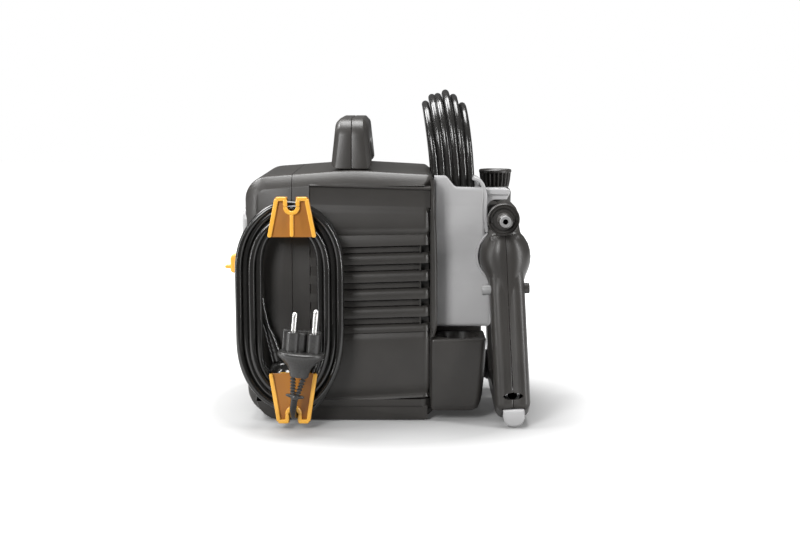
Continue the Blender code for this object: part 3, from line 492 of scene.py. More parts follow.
# Dark tone, light tone, roughness, grain, grain depth, coat and gloss of each moulded material.
MOULDED = {
    "dark_plastic": ((0.022, 0.0205, 0.019), (0.028, 0.026, 0.024), 0.36, 2600.0, 0.05, 0.0, 0.33),
    "plug_plastic": ((0.020, 0.0195, 0.019), (0.027, 0.026, 0.025), 0.30, 1800.0, 0.03, 0.0, 0.5),
    "light_grey_plastic": ((0.30, 0.298, 0.30), (0.335, 0.332, 0.335), 0.40, 3000.0, 0.02, 0.1, 0.5),
    "pin_grey": ((0.15, 0.15, 0.15), (0.18, 0.18, 0.18), 0.38, 2400.0, 0.02, 0.0, 0.5),
    # Darker orange for the hook trays' sunken floors: painted shade in the recess between the rims.
    "orange_recess_shade": ((0.25, 0.092, 0.005), (0.28, 0.105, 0.007), 0.42, 2400.0, 0.02, 0.0, 0.5),
    "orange_plastic": ((0.57, 0.285, 0.028), (0.63, 0.32, 0.035), 0.34, 2400.0, 0.02, 0.2, 0.5),
    "black_pvc": ((0.009, 0.0087, 0.0083), (0.012, 0.0116, 0.011), 0.13, 1500.0, 0.0005, 0.1, 0.45),
    "hose_rubber": ((0.012, 0.0116, 0.011), (0.016, 0.0154, 0.0146), 0.20, 1500.0, 0.0005, 0.1, 0.45),
    "black_rubber": ((0.010, 0.010, 0.010), (0.016, 0.016, 0.016), 0.6, 1600.0, 0.1, 0.0, 0.5),
}
# Dark tone, light tone, roughness and stretch of the streaks of each metal.
METALS = {
    "steel": ((0.42, 0.42, 0.43), (0.62, 0.62, 0.62), 0.3, (1, 1, 12)),
    "bright_pin": ((0.66, 0.65, 0.63), (0.85, 0.84, 0.82), 0.3, (1, 1, 12)),
    "brass": ((0.55, 0.38, 0.15), (0.72, 0.52, 0.24), 0.3, (1, 1, 12)),
    "aluminium": ((0.55, 0.55, 0.56), (0.74, 0.74, 0.75), 0.42, (1, 1, 1)),
}
FINISH = {name: moulded(name, *look) for name, look in MOULDED.items()}
FINISH.update({name: metal(name, *look) for name, look in METALS.items()})
FINISH["copper_winding"] = winding("copper_winding")
DARK = FINISH["dark_plastic"]
GREY = FINISH["light_grey_plastic"]
ORANGE = FINISH["orange_plastic"]


def finish_packed_parts():
    """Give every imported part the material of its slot."""
    slot_of = {entry["node"]: entry["material_slot"] for entry in frame["record"]["subparts"]}
    for node, item in frame["nodes"].items():
        material = FINISH[slot_of[node]]
        if not item.data.materials:
            item.data.materials.append(material)
        for place in item.material_slots:
            place.material = material


# ---------------------------------------------------------------- stage

def set_camera():
    lens = bpy.data.cameras.new("camera")
    lens.lens = CAMERA_LENS
    lens.sensor_width = 36.0
    camera = add_object("camera", lens)
    camera.location = Vector(CAMERA_PLACE) * MM
    camera.rotation_euler = (math.radians(CAMERA_TILT), 0.0, 0.0)
    bpy.context.scene.camera = camera


def area_light(name, place, target, size, power):
    data = bpy.data.lights.new(name, "AREA")
    data.shape = "RECTANGLE"
    data.size, data.size_y = size
    data.energy = power
    lamp = add_object(name, data)
    lamp.location = place
    lamp.rotation_euler = (Vector(target) - Vector(place)).to_track_quat("-Z", "Y").to_euler()


def studio_world():
    """White backdrop for the camera; a dimmer room for the light that reaches the object."""
    world = bpy.data.worlds.new("studio")
    world.use_nodes = True
    tree = world.node_tree
    room = with_inputs(tree.nodes["Background"], {"Color": (0.12, 0.12, 0.12, 1.0)})
    backdrop = with_inputs(tree.nodes.new("ShaderNodeBackground"), {"Color": WHITE})
    ray = tree.nodes.new("ShaderNodeLightPath")
    choice = tree.nodes.new("ShaderNodeMixShader")
    tree.links.new(ray.outputs["Is Camera Ray"], choice.inputs["Fac"])
    tree.links.new(room.outputs["Background"], choice.inputs[1])
    tree.links.new(backdrop.outputs["Background"], choice.inputs[2])
    tree.links.new(choice.outputs["Shader"], tree.nodes["World Output"].inputs["Surface"])
    bpy.context.scene.world = world


def paper():
    """White paper that glows a little as painted light, less so under the object, which paints a darker patch
    there around the soft shadow.
    """
    material, tree, shader = shader_of("paper", (0.36, 0.36, 0.36), 0.8)
    ball = pattern_node(tree, "ShaderNodeTexGradient", (1.9, 1.75, 1.75))
    ball.gradient_type = "SPHERICAL"
    # Painted light: the glow is strongest away from the object and dims towards it, a painted shade under it.
    tree.links.new(ranged(tree, ball.outputs["Fac"], 1.0, 0.04), shader.inputs["Emission Strength"])
    with_inputs(shader, {"Emission Color": WHITE, "Specular IOR Level": 0.0})
    return material


def set_stage():
    """White floor, pale surroundings and broad soft lights."""
    shape = bmesh.new()
    bmesh.ops.create_grid(shape, x_segments=1, y_segments=1, size=FLOOR_HALF)
    bmesh.ops.translate(shape, verts=shape.verts, vec=(0.0, FLOOR_CENTRE_Y, 0.0))
    new_piece("floor", shape, paper())
    studio_world()
    for name, place, target, size, power in LIGHTS:
        area_light(name, place, target, size, power)
    bpy.context.scene.view_settings.view_transform = "Standard"


# ---------------------------------------------------------------- cords

def hank_turns():
    """(offset from the outside, depth) of each turn: column by column, from the inside out."""
    turns = []
    for column in range(HANK_COLUMNS):
        offset = COLUMN_PITCH * (HANK_COLUMNS - 1 - column)
        odd = column % 2
        start = HANK_BACK_Y - LAYER_PITCH / 2 * odd
        depths = [start - LAYER_PITCH * layer for layer in range(TURNS_PER_COLUMN)]
        if odd:
            depths.reverse()
        turns += [(offset, depth) for depth in depths]
    return turns


def oval_point(angle, offset):
    """Point on a hank turn: half ellipses above and below straight sides."""
    half = HANK_HALF - offset
    top_reach = min(HANK_TOP_REACH - offset, half**2 / TIGHTEST_BEND)
    bottom_reach = min(HANK_BOTTOM_REACH - offset, half**2 / TIGHTEST_BEND)
    top_centre = HANK_TOP - offset - top_reach
    bottom_centre = HANK_BOTTOM + offset + bottom_reach
    across = half * math.cos(angle)
    lift = math.sin(angle)
    if lift >= 0:
        return HANK_CENTRE_X + across, top_centre + top_reach * lift
    return HANK_CENTRE_X + across, bottom_centre + bottom_reach * lift


def hank_route():
    """Clockwise turns seen from the near side, up the left, moving on behind the upper hook."""
    turns = hank_turns()
    route = []
    for number, (offset, depth) in enumerate(turns):
        after_offset, after_depth = turns[min(number + 1, len(turns) - 1)]
        last = number == len(turns) - 1
        for index in range(POINTS_PER_TURN):
            part = index / POINTS_PER_TURN
            if last and part > LAST_TURN_SHARE:
                return route
            angle = math.pi - 2 * math.pi * part
            shift = ease((part - CROSSING_START) / CROSSING_SHARE)
            here = offset + (after_offset - offset) * shift
            y = depth + (after_depth - depth) * shift
            wander = HANK_WANDER * math.sin(3 * angle + 2.1 * number) * math.sin(2 * math.pi * part)
            x, z = oval_point(angle, here + wander)
            route.append(Vector((x, y + HANK_SWAY * math.sin(2 * angle + number), z)))
    return route


def mains_cord():
    """The whole mains cord: out of the hood, round the hooks, through the notch to the plug."""
    route = smoothed(catmull(MAINS_LEAD, 4.0) + hank_route() + catmull(MAINS_TAIL, 3.0))
    cord = bend_tube("mains_cord", route, CORD_RADIUS, FINISH["black_pvc"], 16)
    seat(cord, "housing", "black_pvc", "mains_cord_lead", "mains_cord_hank", "mains_cord_tail")
    return cord, route


def hose_loop_point(part, top):
    """Point on a standing hose turn that starts at the foot of its near side."""
    radius = (HOSE_FAR_Y - HOSE_NEAR_Y) / 2
    middle = (HOSE_FAR_Y + HOSE_NEAR_Y) / 2
    low = HOSE_LOW_Z + radius
    high = top - radius
    straight = high - low
    round_end = math.pi * radius
    along = part * 2 * (straight + round_end)
    if along < straight:
        return HOSE_NEAR_Y, low + along
    along -= straight
    if along < round_end:
        turn = math.pi - along / radius
        return middle + radius * math.cos(turn), high + radius * math.sin(turn)
    along -= round_end
    if along < straight:
        return HOSE_FAR_Y, high - along
    turn = -(along - straight) / radius
    return middle + radius * math.cos(turn), low + radius * math.sin(turn)


def hose_turns():
    """Turns that each have their own top; the way from one to the next is low on the far side."""
    points = []
    steps = POINTS_PER_TURN // 2
    for index in range(int(steps * (HOSE_TURNS - HOSE_UNWOUND))):
        turn = index // steps
        part = index / steps - turn
        shift = ease((part - HOSE_CROSSING) / (1 - HOSE_CROSSING))
        after = min(turn + 1, HOSE_TURNS - 1)
        foot = HOSE_FIRST_X + HOSE_PITCH * (turn + shift)
        top_x, top = HOSE_TOPS[turn]
        y, z = hose_loop_point(part, top)
        if part > HOSE_CROSSING:
            top = top + (HOSE_TOPS[after][1] - top) * shift
        rise = max(z - HOSE_FAN_START, 0.0) / (top - HOSE_FAN_START)
        sway = HOSE_SWAY * math.sin(2.0 * turn + 1.0) * math.sin(math.pi * part)
        x = foot + (top_x - HOSE_FIRST_X - HOSE_PITCH * turn) * rise**HOSE_FAN_POWER + sway
        points.append(Vector((x, y, z)))
    return points


def hose():
    """The whole hose: up from the outlet, round the turns and down into the end fitting."""
    turns = hose_turns()
    first = next(index for index, point in enumerate(turns) if point.z > HOSE_JOIN_Z)
    route = smoothed(catmull(HOSE_LEAD, 5.0) + turns[first:] + catmull(HOSE_TAIL, 5.0))
    pipe = bend_tube("hose", route, HOSE_RADIUS, FINISH["hose_rubber"], 16)
    seat(pipe, "housing", "hose_rubber", "hose_lead", "hose_coil")
    return pipe, route


set_camera()
MAINS_CORD, MAINS_ROUTE = mains_cord()
HOSE, HOSE_ROUTE = hose()


# ---------------------------------------------------------------- housing

BODY_NEAR = -82.5
BODY_FAR = 117.5
SEAM_X = -75.5
WALL = 3.0
BODY_OUTLINE = (
    (-120.0, 3.0, 28.0),
    (58.0, 3.0, 8.0),
    (58.0, 234.6, 8.0),
    (-20.0, 239.0, 200.0),
    (-120.0, 231.6, 22.0),
)
RIM = ((0.0, 12.0), (0.35, 11.2), (4.6, 5.6), (8.6, 1.7), (9.8, 0.7), (11.4, 0.15), (14.0, 0.0))
CAVITY_RIM = ((0.0, 9.0), (4.0, 2.0), (9.0, 0.0))
SHELL_ANGLE = 28.0

PANEL_FRONT = -59.0
PANEL_REAR = 54.6
PANEL_LOW = 21.0
PANEL_HIGH = 224.5
PANEL_SWELL = 2.2
PANEL_RIB_FOOT = 86.0
PANEL_RIB_TOP = 179.0
PANEL_BAND_FOOT = 205.0
PANEL_SUNK = -3.2
PANEL_END_ROUND = 6.0
PANEL_END_DROP = 5.5
SLOT_TOP = 168.1
SLOT_PITCH = 17.0
SLOT_COUNT = 5
SLOT_HEIGHT = 7.2
SLOT_REAR = 44.5
SLOT_FRONT = -47.0
SLOT_END_DEPTH = -8.0
# Slope of the side panel's lines at each height.
SHEAR = ((0.0, 0.05), (25.0, 0.06), (85.0, 0.032), (172.0, 0.027), (200.0, -0.02), (226.0, -0.03))

HANDLE_X = -20.0
HANDLE_ROUNDING = ((0.2, 0.5), (0.5, 0.15), (1.2, 0.0), (12.8, 0.0), (13.8, 0.3), (17.4, 3.4), (18.4, 4.6),
                   (18.9, 6.2))
HANDLE_TAPER = 0.21
HANDLE_FLARE = 0.12


def side_stations(inset, rim):
    """Stations over both side faces of a slab, from the near one to the far one."""
    near = [(BODY_NEAR + inset + depth, drop) for depth, drop in rim]
    return near + [(BODY_FAR - inset - depth, drop) for depth, drop in reversed(rim)]


def body_slab(name, inset, rim):
    """Rounded slab of the housing's outline; the rim runs over both side faces."""
    stations = side_stations(inset, [(depth, inset + drop) for depth, drop in rim])
    return shaped(name, BODY_OUTLINE, "XZ", stations, DARK, 12, SHELL_ANGLE)


def housing():
    """Front and rear shells of the housing, parted at the seam and hollow inside."""
    for name, low, high, node in (
        ("housing_front", -140.0, SEAM_X - 0.25, "front_shell"),
        ("housing_rear", SEAM_X + 0.25, 80.0, "rear_shell"),
    ):
        shell = body_slab(name, 0.0, RIM)
        carve(shell, body_slab("cavity", WALL, CAVITY_RIM))
        carve(shell, block("half", (low, -160, -20), (high, 160, 280), DARK, 0.0), "INTERSECT")
        if node == "rear_shell":
            cut_side_windows(shell)
            inlet = centre_of("inlet_nipple")
            carve(shell, rod("hole", (50, inlet.y, inlet.z), (70, inlet.y, inlet.z), 9.6, DARK))
        else:
            carve(shell, block("window", (-130, -62, 66), (-112, 98, 206), DARK, 4.0))
        triangulate(shell)
        sharpen(shell, SHELL_ANGLE)
        seat(shell, "housing", "dark_plastic", node)


def plinth():
    """Low base between the feet, a little inside the side faces."""
    corners = ((-116.0, 0.9, 22.0), (52.4, 0.9, 1.5), (52.4, 15.0, 1.0), (-112.0, 21.0, 1.0))
    stations = side_stations(1.2, ((0.0, 1.4), (0.4, 0.4), (1.4, 0.0)))
    seat(shaped("plinth", corners, "XZ", stations, DARK, 10), "housing", "dark_plastic")


def cut_side_windows(shell):
    """Openings that the relief panels fill on both sides."""
    for face in (BODY_NEAR, BODY_FAR):
        low = (PANEL_FRONT, face - 8, PANEL_LOW)
        carve(shell, block("window", low, (PANEL_REAR, face + 8, PANEL_HIGH), DARK, 0.0))


def slots():
    """Foot and top of each louvre's slot, downwards."""
    tops = [SLOT_TOP - SLOT_PITCH * row for row in range(SLOT_COUNT)]
    return [(top - SLOT_HEIGHT, top) for top in tops]


def panel_profile():
    """(height, outward) knots of the side panel from its top edge to its foot."""
    knots = [(PANEL_HIGH, PANEL_SUNK), (224.4, 0.0), (223.4, 0.5), (222.6, 0.35), (222.2, -1.9),
             (206.0, -2.0), (205.2, -1.8), (201.7, -0.6), (200.6, -0.1), (198.0, 0.4), (193.0, 1.3),
             (187.0, 2.1), (183.6, 2.1), (180.2, 0.3), (178.4, -1.3), (177.2, -0.9), (175.5, -0.2),
             (171.0, 0.6)]
    for low, top in slots():
        knots += [(top, 0.9), (top - 0.1, -5.0), (top - 1.2, -5.0), (top - 1.3, -3.4), (low + 1.0, -2.8),
                  (low + 0.9, -5.0), (low + 0.1, -5.0), (low, -1.8), (low - 1.0, -0.5), (low - 2.6, 0.6),
                  (low - 4.8, 1.1), (low - 7.0, 1.2)]
    knots += [(88.2, 0.3), (87.6, -0.9), (86.8, -1.0), (82.4, 0.9), (81.0, 1.5), (78.0, 1.9), (60.0, 2.0),
              (36.0, 2.0), (31.5, 1.6), (28.5, 0.5), (26.2, -0.9), (24.6, -1.3), (22.6, -0.8),
              (PANEL_LOW + 0.1, 0.0), (PANEL_LOW, PANEL_SUNK)]
    return knots


def panel_columns():
    """Lengthwise grid lines, closer together at the rear end."""
    columns = [PANEL_FRONT, PANEL_FRONT + 0.1, PANEL_FRONT + 0.9]
    columns += [SLOT_FRONT - 0.1, SLOT_FRONT]
    columns += [SLOT_FRONT + 8.0 + 8.0 * step for step in range(10)]
    columns += [SLOT_REAR - 0.1, SLOT_REAR, SLOT_REAR + 1.3, SLOT_REAR + 1.4]
    columns += [47.5 + 0.5 * step for step in range(14)]
    columns += [PANEL_REAR - 0.1, PANEL_REAR]
    return columns


def panel_height(x, z, out):
    """Outward height of the panel: slots end in pockets, and what is between them rounds off."""
    if x <= PANEL_FRONT or x >= PANEL_REAR:
        return PANEL_SUNK
    if x <= PANEL_FRONT + 0.2:
        return min(out, 0.0)
    if x < SLOT_FRONT and PANEL_RIB_FOOT < z < PANEL_RIB_TOP:
        return 0.3
    if x > SLOT_REAR - 0.05 and any(low < z < top for low, top in slots()):
        return 0.1 if x < SLOT_REAR + 1.35 else SLOT_END_DEPTH
    if z > PANEL_BAND_FOOT:
        return out
    end = PANEL_REAR - 0.6
    fall = min(max(x - (end - PANEL_END_ROUND), 0.0) / PANEL_END_ROUND, 1.0)
    return out - PANEL_END_DROP * (1 - math.sqrt(1 - fall**2))


def side_panel(name, face, outward):
    """Relief of one side: band, ledge, pillow, louvres and lower panel, in one moulding."""
    rows = []
    for z, out in panel_profile():
        tilt = between(z, SHEAR) if PANEL_LOW < z < PANEL_HIGH else 0.0
        rows.append([(x, face + outward * panel_height(x, z, out), z + tilt * (x - 10.0))
                     for x in panel_columns()])
    seat(sheet(name, rows, DARK, 30.0, 1.2), "housing", "dark_plastic")


def rear_border(name, face, outward):
    """Rounded upright bar down the rear edge of one side, tapering off above the pocket."""
    loops = []
    for z, rear in ((231.0, 57.6), (226.0, 58.4), (205.0, 59.4), (180.0, 60.6), (150.0, 61.4), (110.0, 61.6),
                    (92.0, 61.2), (85.0, 60.0), (81.5, 58.6)):
        section = [(55.0, -6.0), (55.0, -0.6), (55.7, 0.3), (57.0, 0.8)]
        for step in range(7):
            turn = math.pi / 2 * step / 6
            section.append((rear - 3.6 + 3.6 * math.sin(turn), 0.8 - 4.4 * (1 - math.cos(turn))))
        section += [(rear, -12.0), (57.8, -12.0)]
        loops.append([(x, face + outward * depth, z) for x, depth in section])
    seat(loft(name, loops, DARK), "housing", "dark_plastic")


def front_panel():
    """Light grey fascia that wraps round to the near and far side."""
    corners = ((-74.0, 64.0, 10.0), (108.0, 64.0, 10.0), (108.0, 203.0, 12.0), (-74.0, 203.0, 12.0))
    stations = ((-112.0, 0.6), (-119.6, 0.3), (-121.4, 0.6), (-122.6, 1.6), (-123.2, 3.2))
    panel = shaped("fascia", corners, "YZ", stations, GREY, 10)
    knob = centre_of("switch_knob")
    carve(panel, rod("hole", (-130, knob.y, knob.z), (-105, knob.y, knob.z), 4.6, GREY))
    sharpen(panel)
    seat(panel, "housing", "light_grey_plastic", "front_panel")


def switch_knob():
    """Orange knob: base disc, grip bar across it and the pointer at its tip."""
    low, high = limits("switch_knob")
    y = (low.y + high.y) / 2
    z = (low.z + high.z) / 2

    def knurl(turn, height):
        return 0.35 * math.cos(24 * turn) if 3.0 < height < 9.5 else 0.0

    profile = ((4.0, -12.0), (4.0, 2.6), (16.2, 2.6), (17.0, 3.6), (17.0, 8.6), (16.0, 10.4), (13.6, 11.2))
    base = turned("knob", profile, (-121.0, y, z), (-1, 0, 0), ORANGE, 64, wave=knurl)
    grip = ((-146.0, z - 9.2, 3.0), (-128.0, z - 12.0, 1.0), (-128.0, z + 10.5, 1.0), (-146.0, z + 9.2, 5.0))
    tab = ((-151.6, z - 5.4, 1.6), (-140.0, z - 5.4, 1.0), (-140.0, z - 1.8, 1.0), (-151.6, z - 1.8, 1.6))
    join(base, soft_plate("grip", grip, "XZ", y - 4.5, y + 4.5, 1.6, ORANGE),
         soft_plate("tab", tab, "XZ", y - 3.0, y + 3.0, 1.0, ORANGE))
    sharpen(base)
    seat(base, "knob", "orange_plastic", "switch_knob")


def handle():
    """Carrying arch in two halves, with chamfered side edges and a seam along its middle."""
    low, high = limits("handle_front_half")
    top = high.z - 3.0
    foot = low.z
    near = low.y
    far = high.y
    corners = ((near + 33.0, foot, 1.0), (near + 40.0, top - 27.0, 14.0), (far - 40.0, top - 27.0, 14.0),
               (far - 33.0, foot, 1.0), (far, foot, 1.0), (far - 8.0, top, 22.0), (near + 8.0, top, 22.0),
               (near, foot, 1.0))
    for end, side in (("front", -1.0), ("rear", 1.0)):
        stations = [(HANDLE_X + side * depth, inset) for depth, inset in HANDLE_ROUNDING]
        half = shaped("handle_" + end, corners, "YZ", stations, DARK, 10)
        for vertex in half.data.vertices:
            up = (vertex.co.z / MM - foot) / (top - foot)
            vertex.co.z = max(vertex.co.z, foot * MM)
            scale = 1.0 - HANDLE_TAPER * up + HANDLE_FLARE * max(1.0 - up / 0.25, 0.0) ** 2
            vertex.co.x = HANDLE_X * MM + (vertex.co.x - HANDLE_X * MM) * scale
        sharpen(half, 25.0)
        seat(half, "housing", "dark_plastic", f"handle_{end}_half")


# ---------------------------------------------------------------- cord hooks, hood and plug

HOOK_X = -73.0
HOOK_FACE = -117.5
HOOK_BACK = HOOK_FACE + 5.0
HOOK_WIDE = 22.5
HOOK_NARROW = 15.5
HOOK_RIM = 3.7
NOTCH_RADIUS = 3.9
STEM_HEIGHT = 6.5
HOOD_CENTRE = (-75.0, 45.5)
HOOD_RADII = (24.0, 21.0)
HOOD_REACH = 28.5
PIN_SPACING = 19.0
STRAND_LENGTH = 22.4


def rounded_box(left, low, right, high, radius):
    return ((left, low, radius), (right, low, radius), (right, high, radius), (left, high, radius))


def bar(name, start, end, width=HOOK_RIM, low=HOOK_FACE):
    """Rounded rim between two points of a hook's face."""
    along = (Vector(end) - Vector(start))
    corners = rounded_box(0.0, -width / 2, along.length, width / 2, width * 0.42)
    piece = soft_plate(name, corners, "XZ", low, HOOK_BACK, 0.9, ORANGE, 5)
    turn = Matrix.Rotation(-math.atan2(along.y, along.x), 4, "Y")
    piece.data.transform(Matrix.Translation(Vector((start[0], 0, start[1])) * MM) @ turn)
    return piece


def notch_rim(centre, start):
    """Rounded rim along the half circle of a hook's notch."""
    loops = []
    half = HOOK_RIM / 2
    for step in range(21):
        angle = start + math.pi * step / 20
        away = Vector((math.cos(angle), math.sin(angle)))
        loop = []
        for out, depth in ((-half, HOOK_BACK), (-half, HOOK_FACE + 0.8), (-half + 0.8, HOOK_FACE),
                           (half - 0.8, HOOK_FACE), (half, HOOK_FACE + 0.8), (half, HOOK_BACK)):
            point = Vector(centre) + away * (NOTCH_RADIUS + half + out)
            loop.append((point.x, depth, point.y))
        loops.append(loop)
    return loft("round_rim", loops, ORANGE)


def cord_hook(node, wide_z, tip_z):
    """Open tray with rims down both sides and round its notch, a middle rib and a stem."""
    up = 1.0 if tip_z > wide_z else -1.0
    corners = [(HOOK_X - HOOK_WIDE, wide_z, 1.5), (HOOK_X + HOOK_WIDE, wide_z, 1.5),
               (HOOK_X + HOOK_NARROW, tip_z, 3.5), (HOOK_X - HOOK_NARROW, tip_z, 3.5)]
    if up < 0:
        corners.reverse()
    # The tray's floor takes the darker orange, which is painted shade in the recess between the rims.
    floor = soft_plate(node + "_tray", corners, "XZ", HOOK_FACE + 3.2, HOOK_BACK, 0.5,
                       FINISH["orange_recess_shade"])
    notch_z = tip_z - up * 9.0
    front = HOOK_FACE - 3
    rear = HOOK_BACK + 3
    carve(floor, block("slot", (HOOK_X - NOTCH_RADIUS, front, min(notch_z, tip_z + up * 3)),
                       (HOOK_X + NOTCH_RADIUS, rear, max(notch_z, tip_z + up * 3)), ORANGE, 0.0))
    carve(floor, rod("round", (HOOK_X, front, notch_z), (HOOK_X, rear, notch_z), NOTCH_RADIUS, ORANGE))
    inset = HOOK_RIM / 2
    tip = tip_z - up * inset
    parts = []
    for side in (-1.0, 1.0):
        wide = HOOK_X + side * (HOOK_WIDE - inset)
        narrow = HOOK_X + side * (HOOK_NARROW - inset)
        rim_x = HOOK_X + side * (NOTCH_RADIUS + inset)
        parts.append(bar("side", (wide, wide_z), (narrow, tip)))
        parts.append(bar("tip", (narrow + side * 0.6, tip), (rim_x - side * 1.2, tip)))
        parts.append(bar("notch", (rim_x, tip), (rim_x, notch_z)))
    parts.append(notch_rim((HOOK_X, notch_z), math.pi if up > 0 else 0.0))
    if up > 0:
        parts.append(bar("rib", (HOOK_X, notch_z - 6.0), (HOOK_X, wide_z + 0.5), 3.4, HOOK_FACE + 0.3))
    stem_low = min(wide_z, wide_z + up * STEM_HEIGHT)
    parts.append(block("stem", (HOOK_X - 12.5, HOOK_BACK - 1.0, stem_low),
                       (HOOK_X + 12.5, BODY_NEAR - 0.3, stem_low + STEM_HEIGHT), ORANGE, 1.0))
    rims = join(*parts)
    rims.name = node + "_rims"
    for piece in (floor, rims):
        seat(sharpen(piece), "housing", "orange_plastic", node)


def cord_hood():
    """Black dome over the cord's way out of the housing, with the tapered strain relief."""
    pvc = FINISH["black_pvc"]
    loops = []
    for ring in range(11):
        bend = math.pi / 2 * ring / 10
        depth = BODY_NEAR - 0.2 - HOOD_REACH * math.sin(bend)
        scale = math.cos(bend) ** 0.8 if ring < 10 else 0.04
        loops.append([(HOOD_CENTRE[0] + x * scale, depth, HOOD_CENTRE[1] + max(z, -1.0) * scale)
                      for x, z in ellipse(*HOOD_RADII, 48)])
    seat(loft("cord_hood", loops, pvc), "housing", "black_pvc", "cable_gland")
    along = Vector((-5.0, -0.1, 16.0)).normalized()
    profile = [(6.2, -5.0)]
    for rib in range(5):
        low = rib * 4.6
        size = 5.9 - 0.35 * rib
        profile += [(size, low), (size, low + 3.0), (size - 0.9, low + 3.4), (size - 0.9, low + 4.2)]
    profile += [(3.6, 24.0), (3.3, 24.2)]
    return seat(turned("cord_strain_relief", profile, CORD_EXIT, along, pvc, 28), "housing", "black_pvc")


def leaning(base, lean):
    """Move to a base point, leaning about the depth axis by an angle in degrees."""
    return Matrix.Translation(Vector(base) * MM) @ Matrix.Rotation(math.radians(lean), 4, "Y")


def plug_lobe(x, y, radius, high, material):
    """Round sleeve that stands on the plug's flange."""
    low = 41.0
    profile = ((radius - 0.6, low), (radius, low + 0.6), (radius, high - 0.7), (radius - 0.7, high))
    return turned("lobe", profile, (x, y, 0), (0, 0, 1), material, 32)


def plug():
    """Two-pin contour plug with its sleeves, flange, neck and slotted strain relief."""
    plastic = FINISH["plug_plastic"]
    half = PIN_SPACING / 2
    loops = []
    for z, half_x, half_y in ((20.5, 8.4, 7.0), (23.0, 9.0, 7.6), (26.0, 9.8, 8.2), (29.5, 11.2, 9.4),
                              (33.0, 14.2, 11.2), (36.5, 18.4, 13.2), (38.6, 20.6, 14.4), (39.8, 21.3, 14.9),
                              (41.2, 21.6, 15.1), (42.6, 21.3, 14.8), (43.6, 20.2, 13.6), (44.0, 18.0, 11.4)):
        loop = []
        for x, y in ellipse(half_x, half_y, 56, -1.2):
            pinch = 1.0 - 0.10 * math.exp(-(x / 2.4) ** 2) * (1 - ease((z - 24.0) / 10.0))
            loop.append((x, y * pinch, z))
        loops.append(loop)
    body = join(
        loft("plug", loops, plastic),
        plug_lobe(-half, -1.0, 6.2, 62.0, plastic),
        plug_lobe(half, -1.0, 6.2, 62.0, plastic),
        plug_lobe(-1.6, 0.6, 4.6, 61.4, plastic),
        soft_plate("web", rounded_box(-19.5, 3.0, 15.5, 9.5, 2.6), "XY", 41.0, 62.4, 0.8, plastic),
    )
    sharpen(body)
    placed = leaning(PLUG_BASE, PLUG_LEAN)
    body.data.transform(placed)
    pieces = [seat(body, "housing", "dark_plastic", "plug_body")]
    for name, x, tip in (("plug_pin_left", -half, 80.0), ("plug_pin_right", half, 84.0)):
        profile = ((2.4, 56.0), (2.4, tip - 2.4), (2.1, tip - 1.1), (1.4, tip - 0.3), (0.5, tip))
        pin = turned(name + "_turned", profile, (x, -1.0, 0), (0, 0, 1), FINISH["bright_pin"], 24)
        pin.data.transform(placed)
        pieces.append(seat(pin, "housing", "bright_pin", name))
    relief = slotted_relief(plastic)
    relief.data.transform(leaning(RELIEF_BASE, RELIEF_LEAN))
    pieces.append(seat(relief, "housing", "dark_plastic", "plug_strain_relief"))
    return pieces


def slotted_relief(material):
    """Ribbed strain relief: two ribbed strands that meet in a winged collar."""
    parts = []
    for side, reach in ((-1.0, 4.9), (1.0, 5.3)):
        profile = []
        for rib in range(7):
            low = 2.0 + 2.9 * rib
            profile += [(1.7, low), (2.8, low + 0.7), (2.8, low + 1.5), (1.7, low + 2.2)]
        profile.append((1.7, STRAND_LENGTH))
        strand = turned("strand", profile, (0, 0, 0), (0, 0, 1), material, 20)
        for vertex in strand.data.vertices:
            up = vertex.co.z / MM / STRAND_LENGTH
            vertex.co.x += side * (1.6 + (reach - 1.6) * up) * MM
            vertex.co.y -= 0.5 * MM
        parts.append(strand)
    core = turned("core", ((3.4, -1.0), (4.0, 0.4), (4.0, 2.2), (3.3, 3.4), (2.0, 4.4)), (0, 0, 0), (0, 0, 1),
                  material, 28)
    loops = [spread(ellipse(half, 3.4, 32), "XY", z)
             for z, half in ((0.6, 5.0), (1.4, 8.2), (2.6, 8.8), (3.4, 7.6), (3.8, 4.6))]
    join(core, loft("wings", loops, material), *parts)
    sharpen(core)
    core.name = "plug_relief"
    return core


# ---------------------------------------------------------------- holder, pocket and lance

HOLDER_NEAR = -57.0
HOLDER_FAR = 92.0
HOLDER_FRONT = 58.6
HOLDER_REAR = 105.4
HOLDER_FOOT = 87.2
HOLDER_LOW = 87.4
HOLDER_TOP = 233.0
TOP_BEND_START = 68.0
TOP_BEND_END = 80.0
CRADLE_CENTRE = (126.1, 156.1)
LANCE_PLACE = (124.5, 58.0)
LANCE_FLUTES = 22
POCKET_NEAR = -83.0
POCKET_FAR = -28.0
POCKET_LEFT = 55.2


def holder():
    """Light grey hose holder: waved near wall with its S-shaped top edge, and the other walls."""
    shell = join(
        near_wall(),
        block("floor", (HOLDER_FRONT, -56.0, HOLDER_FOOT), (HOLDER_REAR, HOLDER_FAR, 89.2), GREY, 0.6),
        block("front_wall", (58.5, -56.0, HOLDER_FOOT), (60.8, HOLDER_FAR, 150.0), GREY, 0.6),
        far_wall(),
        rear_wall(),
        cradle_ring(),
        saddle_arm(),
        curled_post(),
        lance_clip(),
    )
    sharpen(shell, 30.0)
    seat(shell, "housing", "light_grey_plastic", "accessory_holder")


def wall_right_edge(z):
    """Rear edge of the near wall: straight below, drawn in beside the gun's head, swept at the top."""
    return between(z, ((87.0, 110.5), (90.0, 113.2), (122.0, 113.6), (131.0, 113.0), (140.0, 108.5),
                       (150.0, 107.0), (190.0, 107.0), (233.0, 106.6)))


def wall_top(x):
    """Top edge of the near wall: high beside the housing, then an S down to the saddle."""
    if x < TOP_BEND_END:
        return HOLDER_TOP - 10.8 * ease((x - TOP_BEND_START) / (TOP_BEND_END - TOP_BEND_START))
    return HOLDER_TOP - 10.8 - 0.8 * (x - TOP_BEND_END) / 27.0


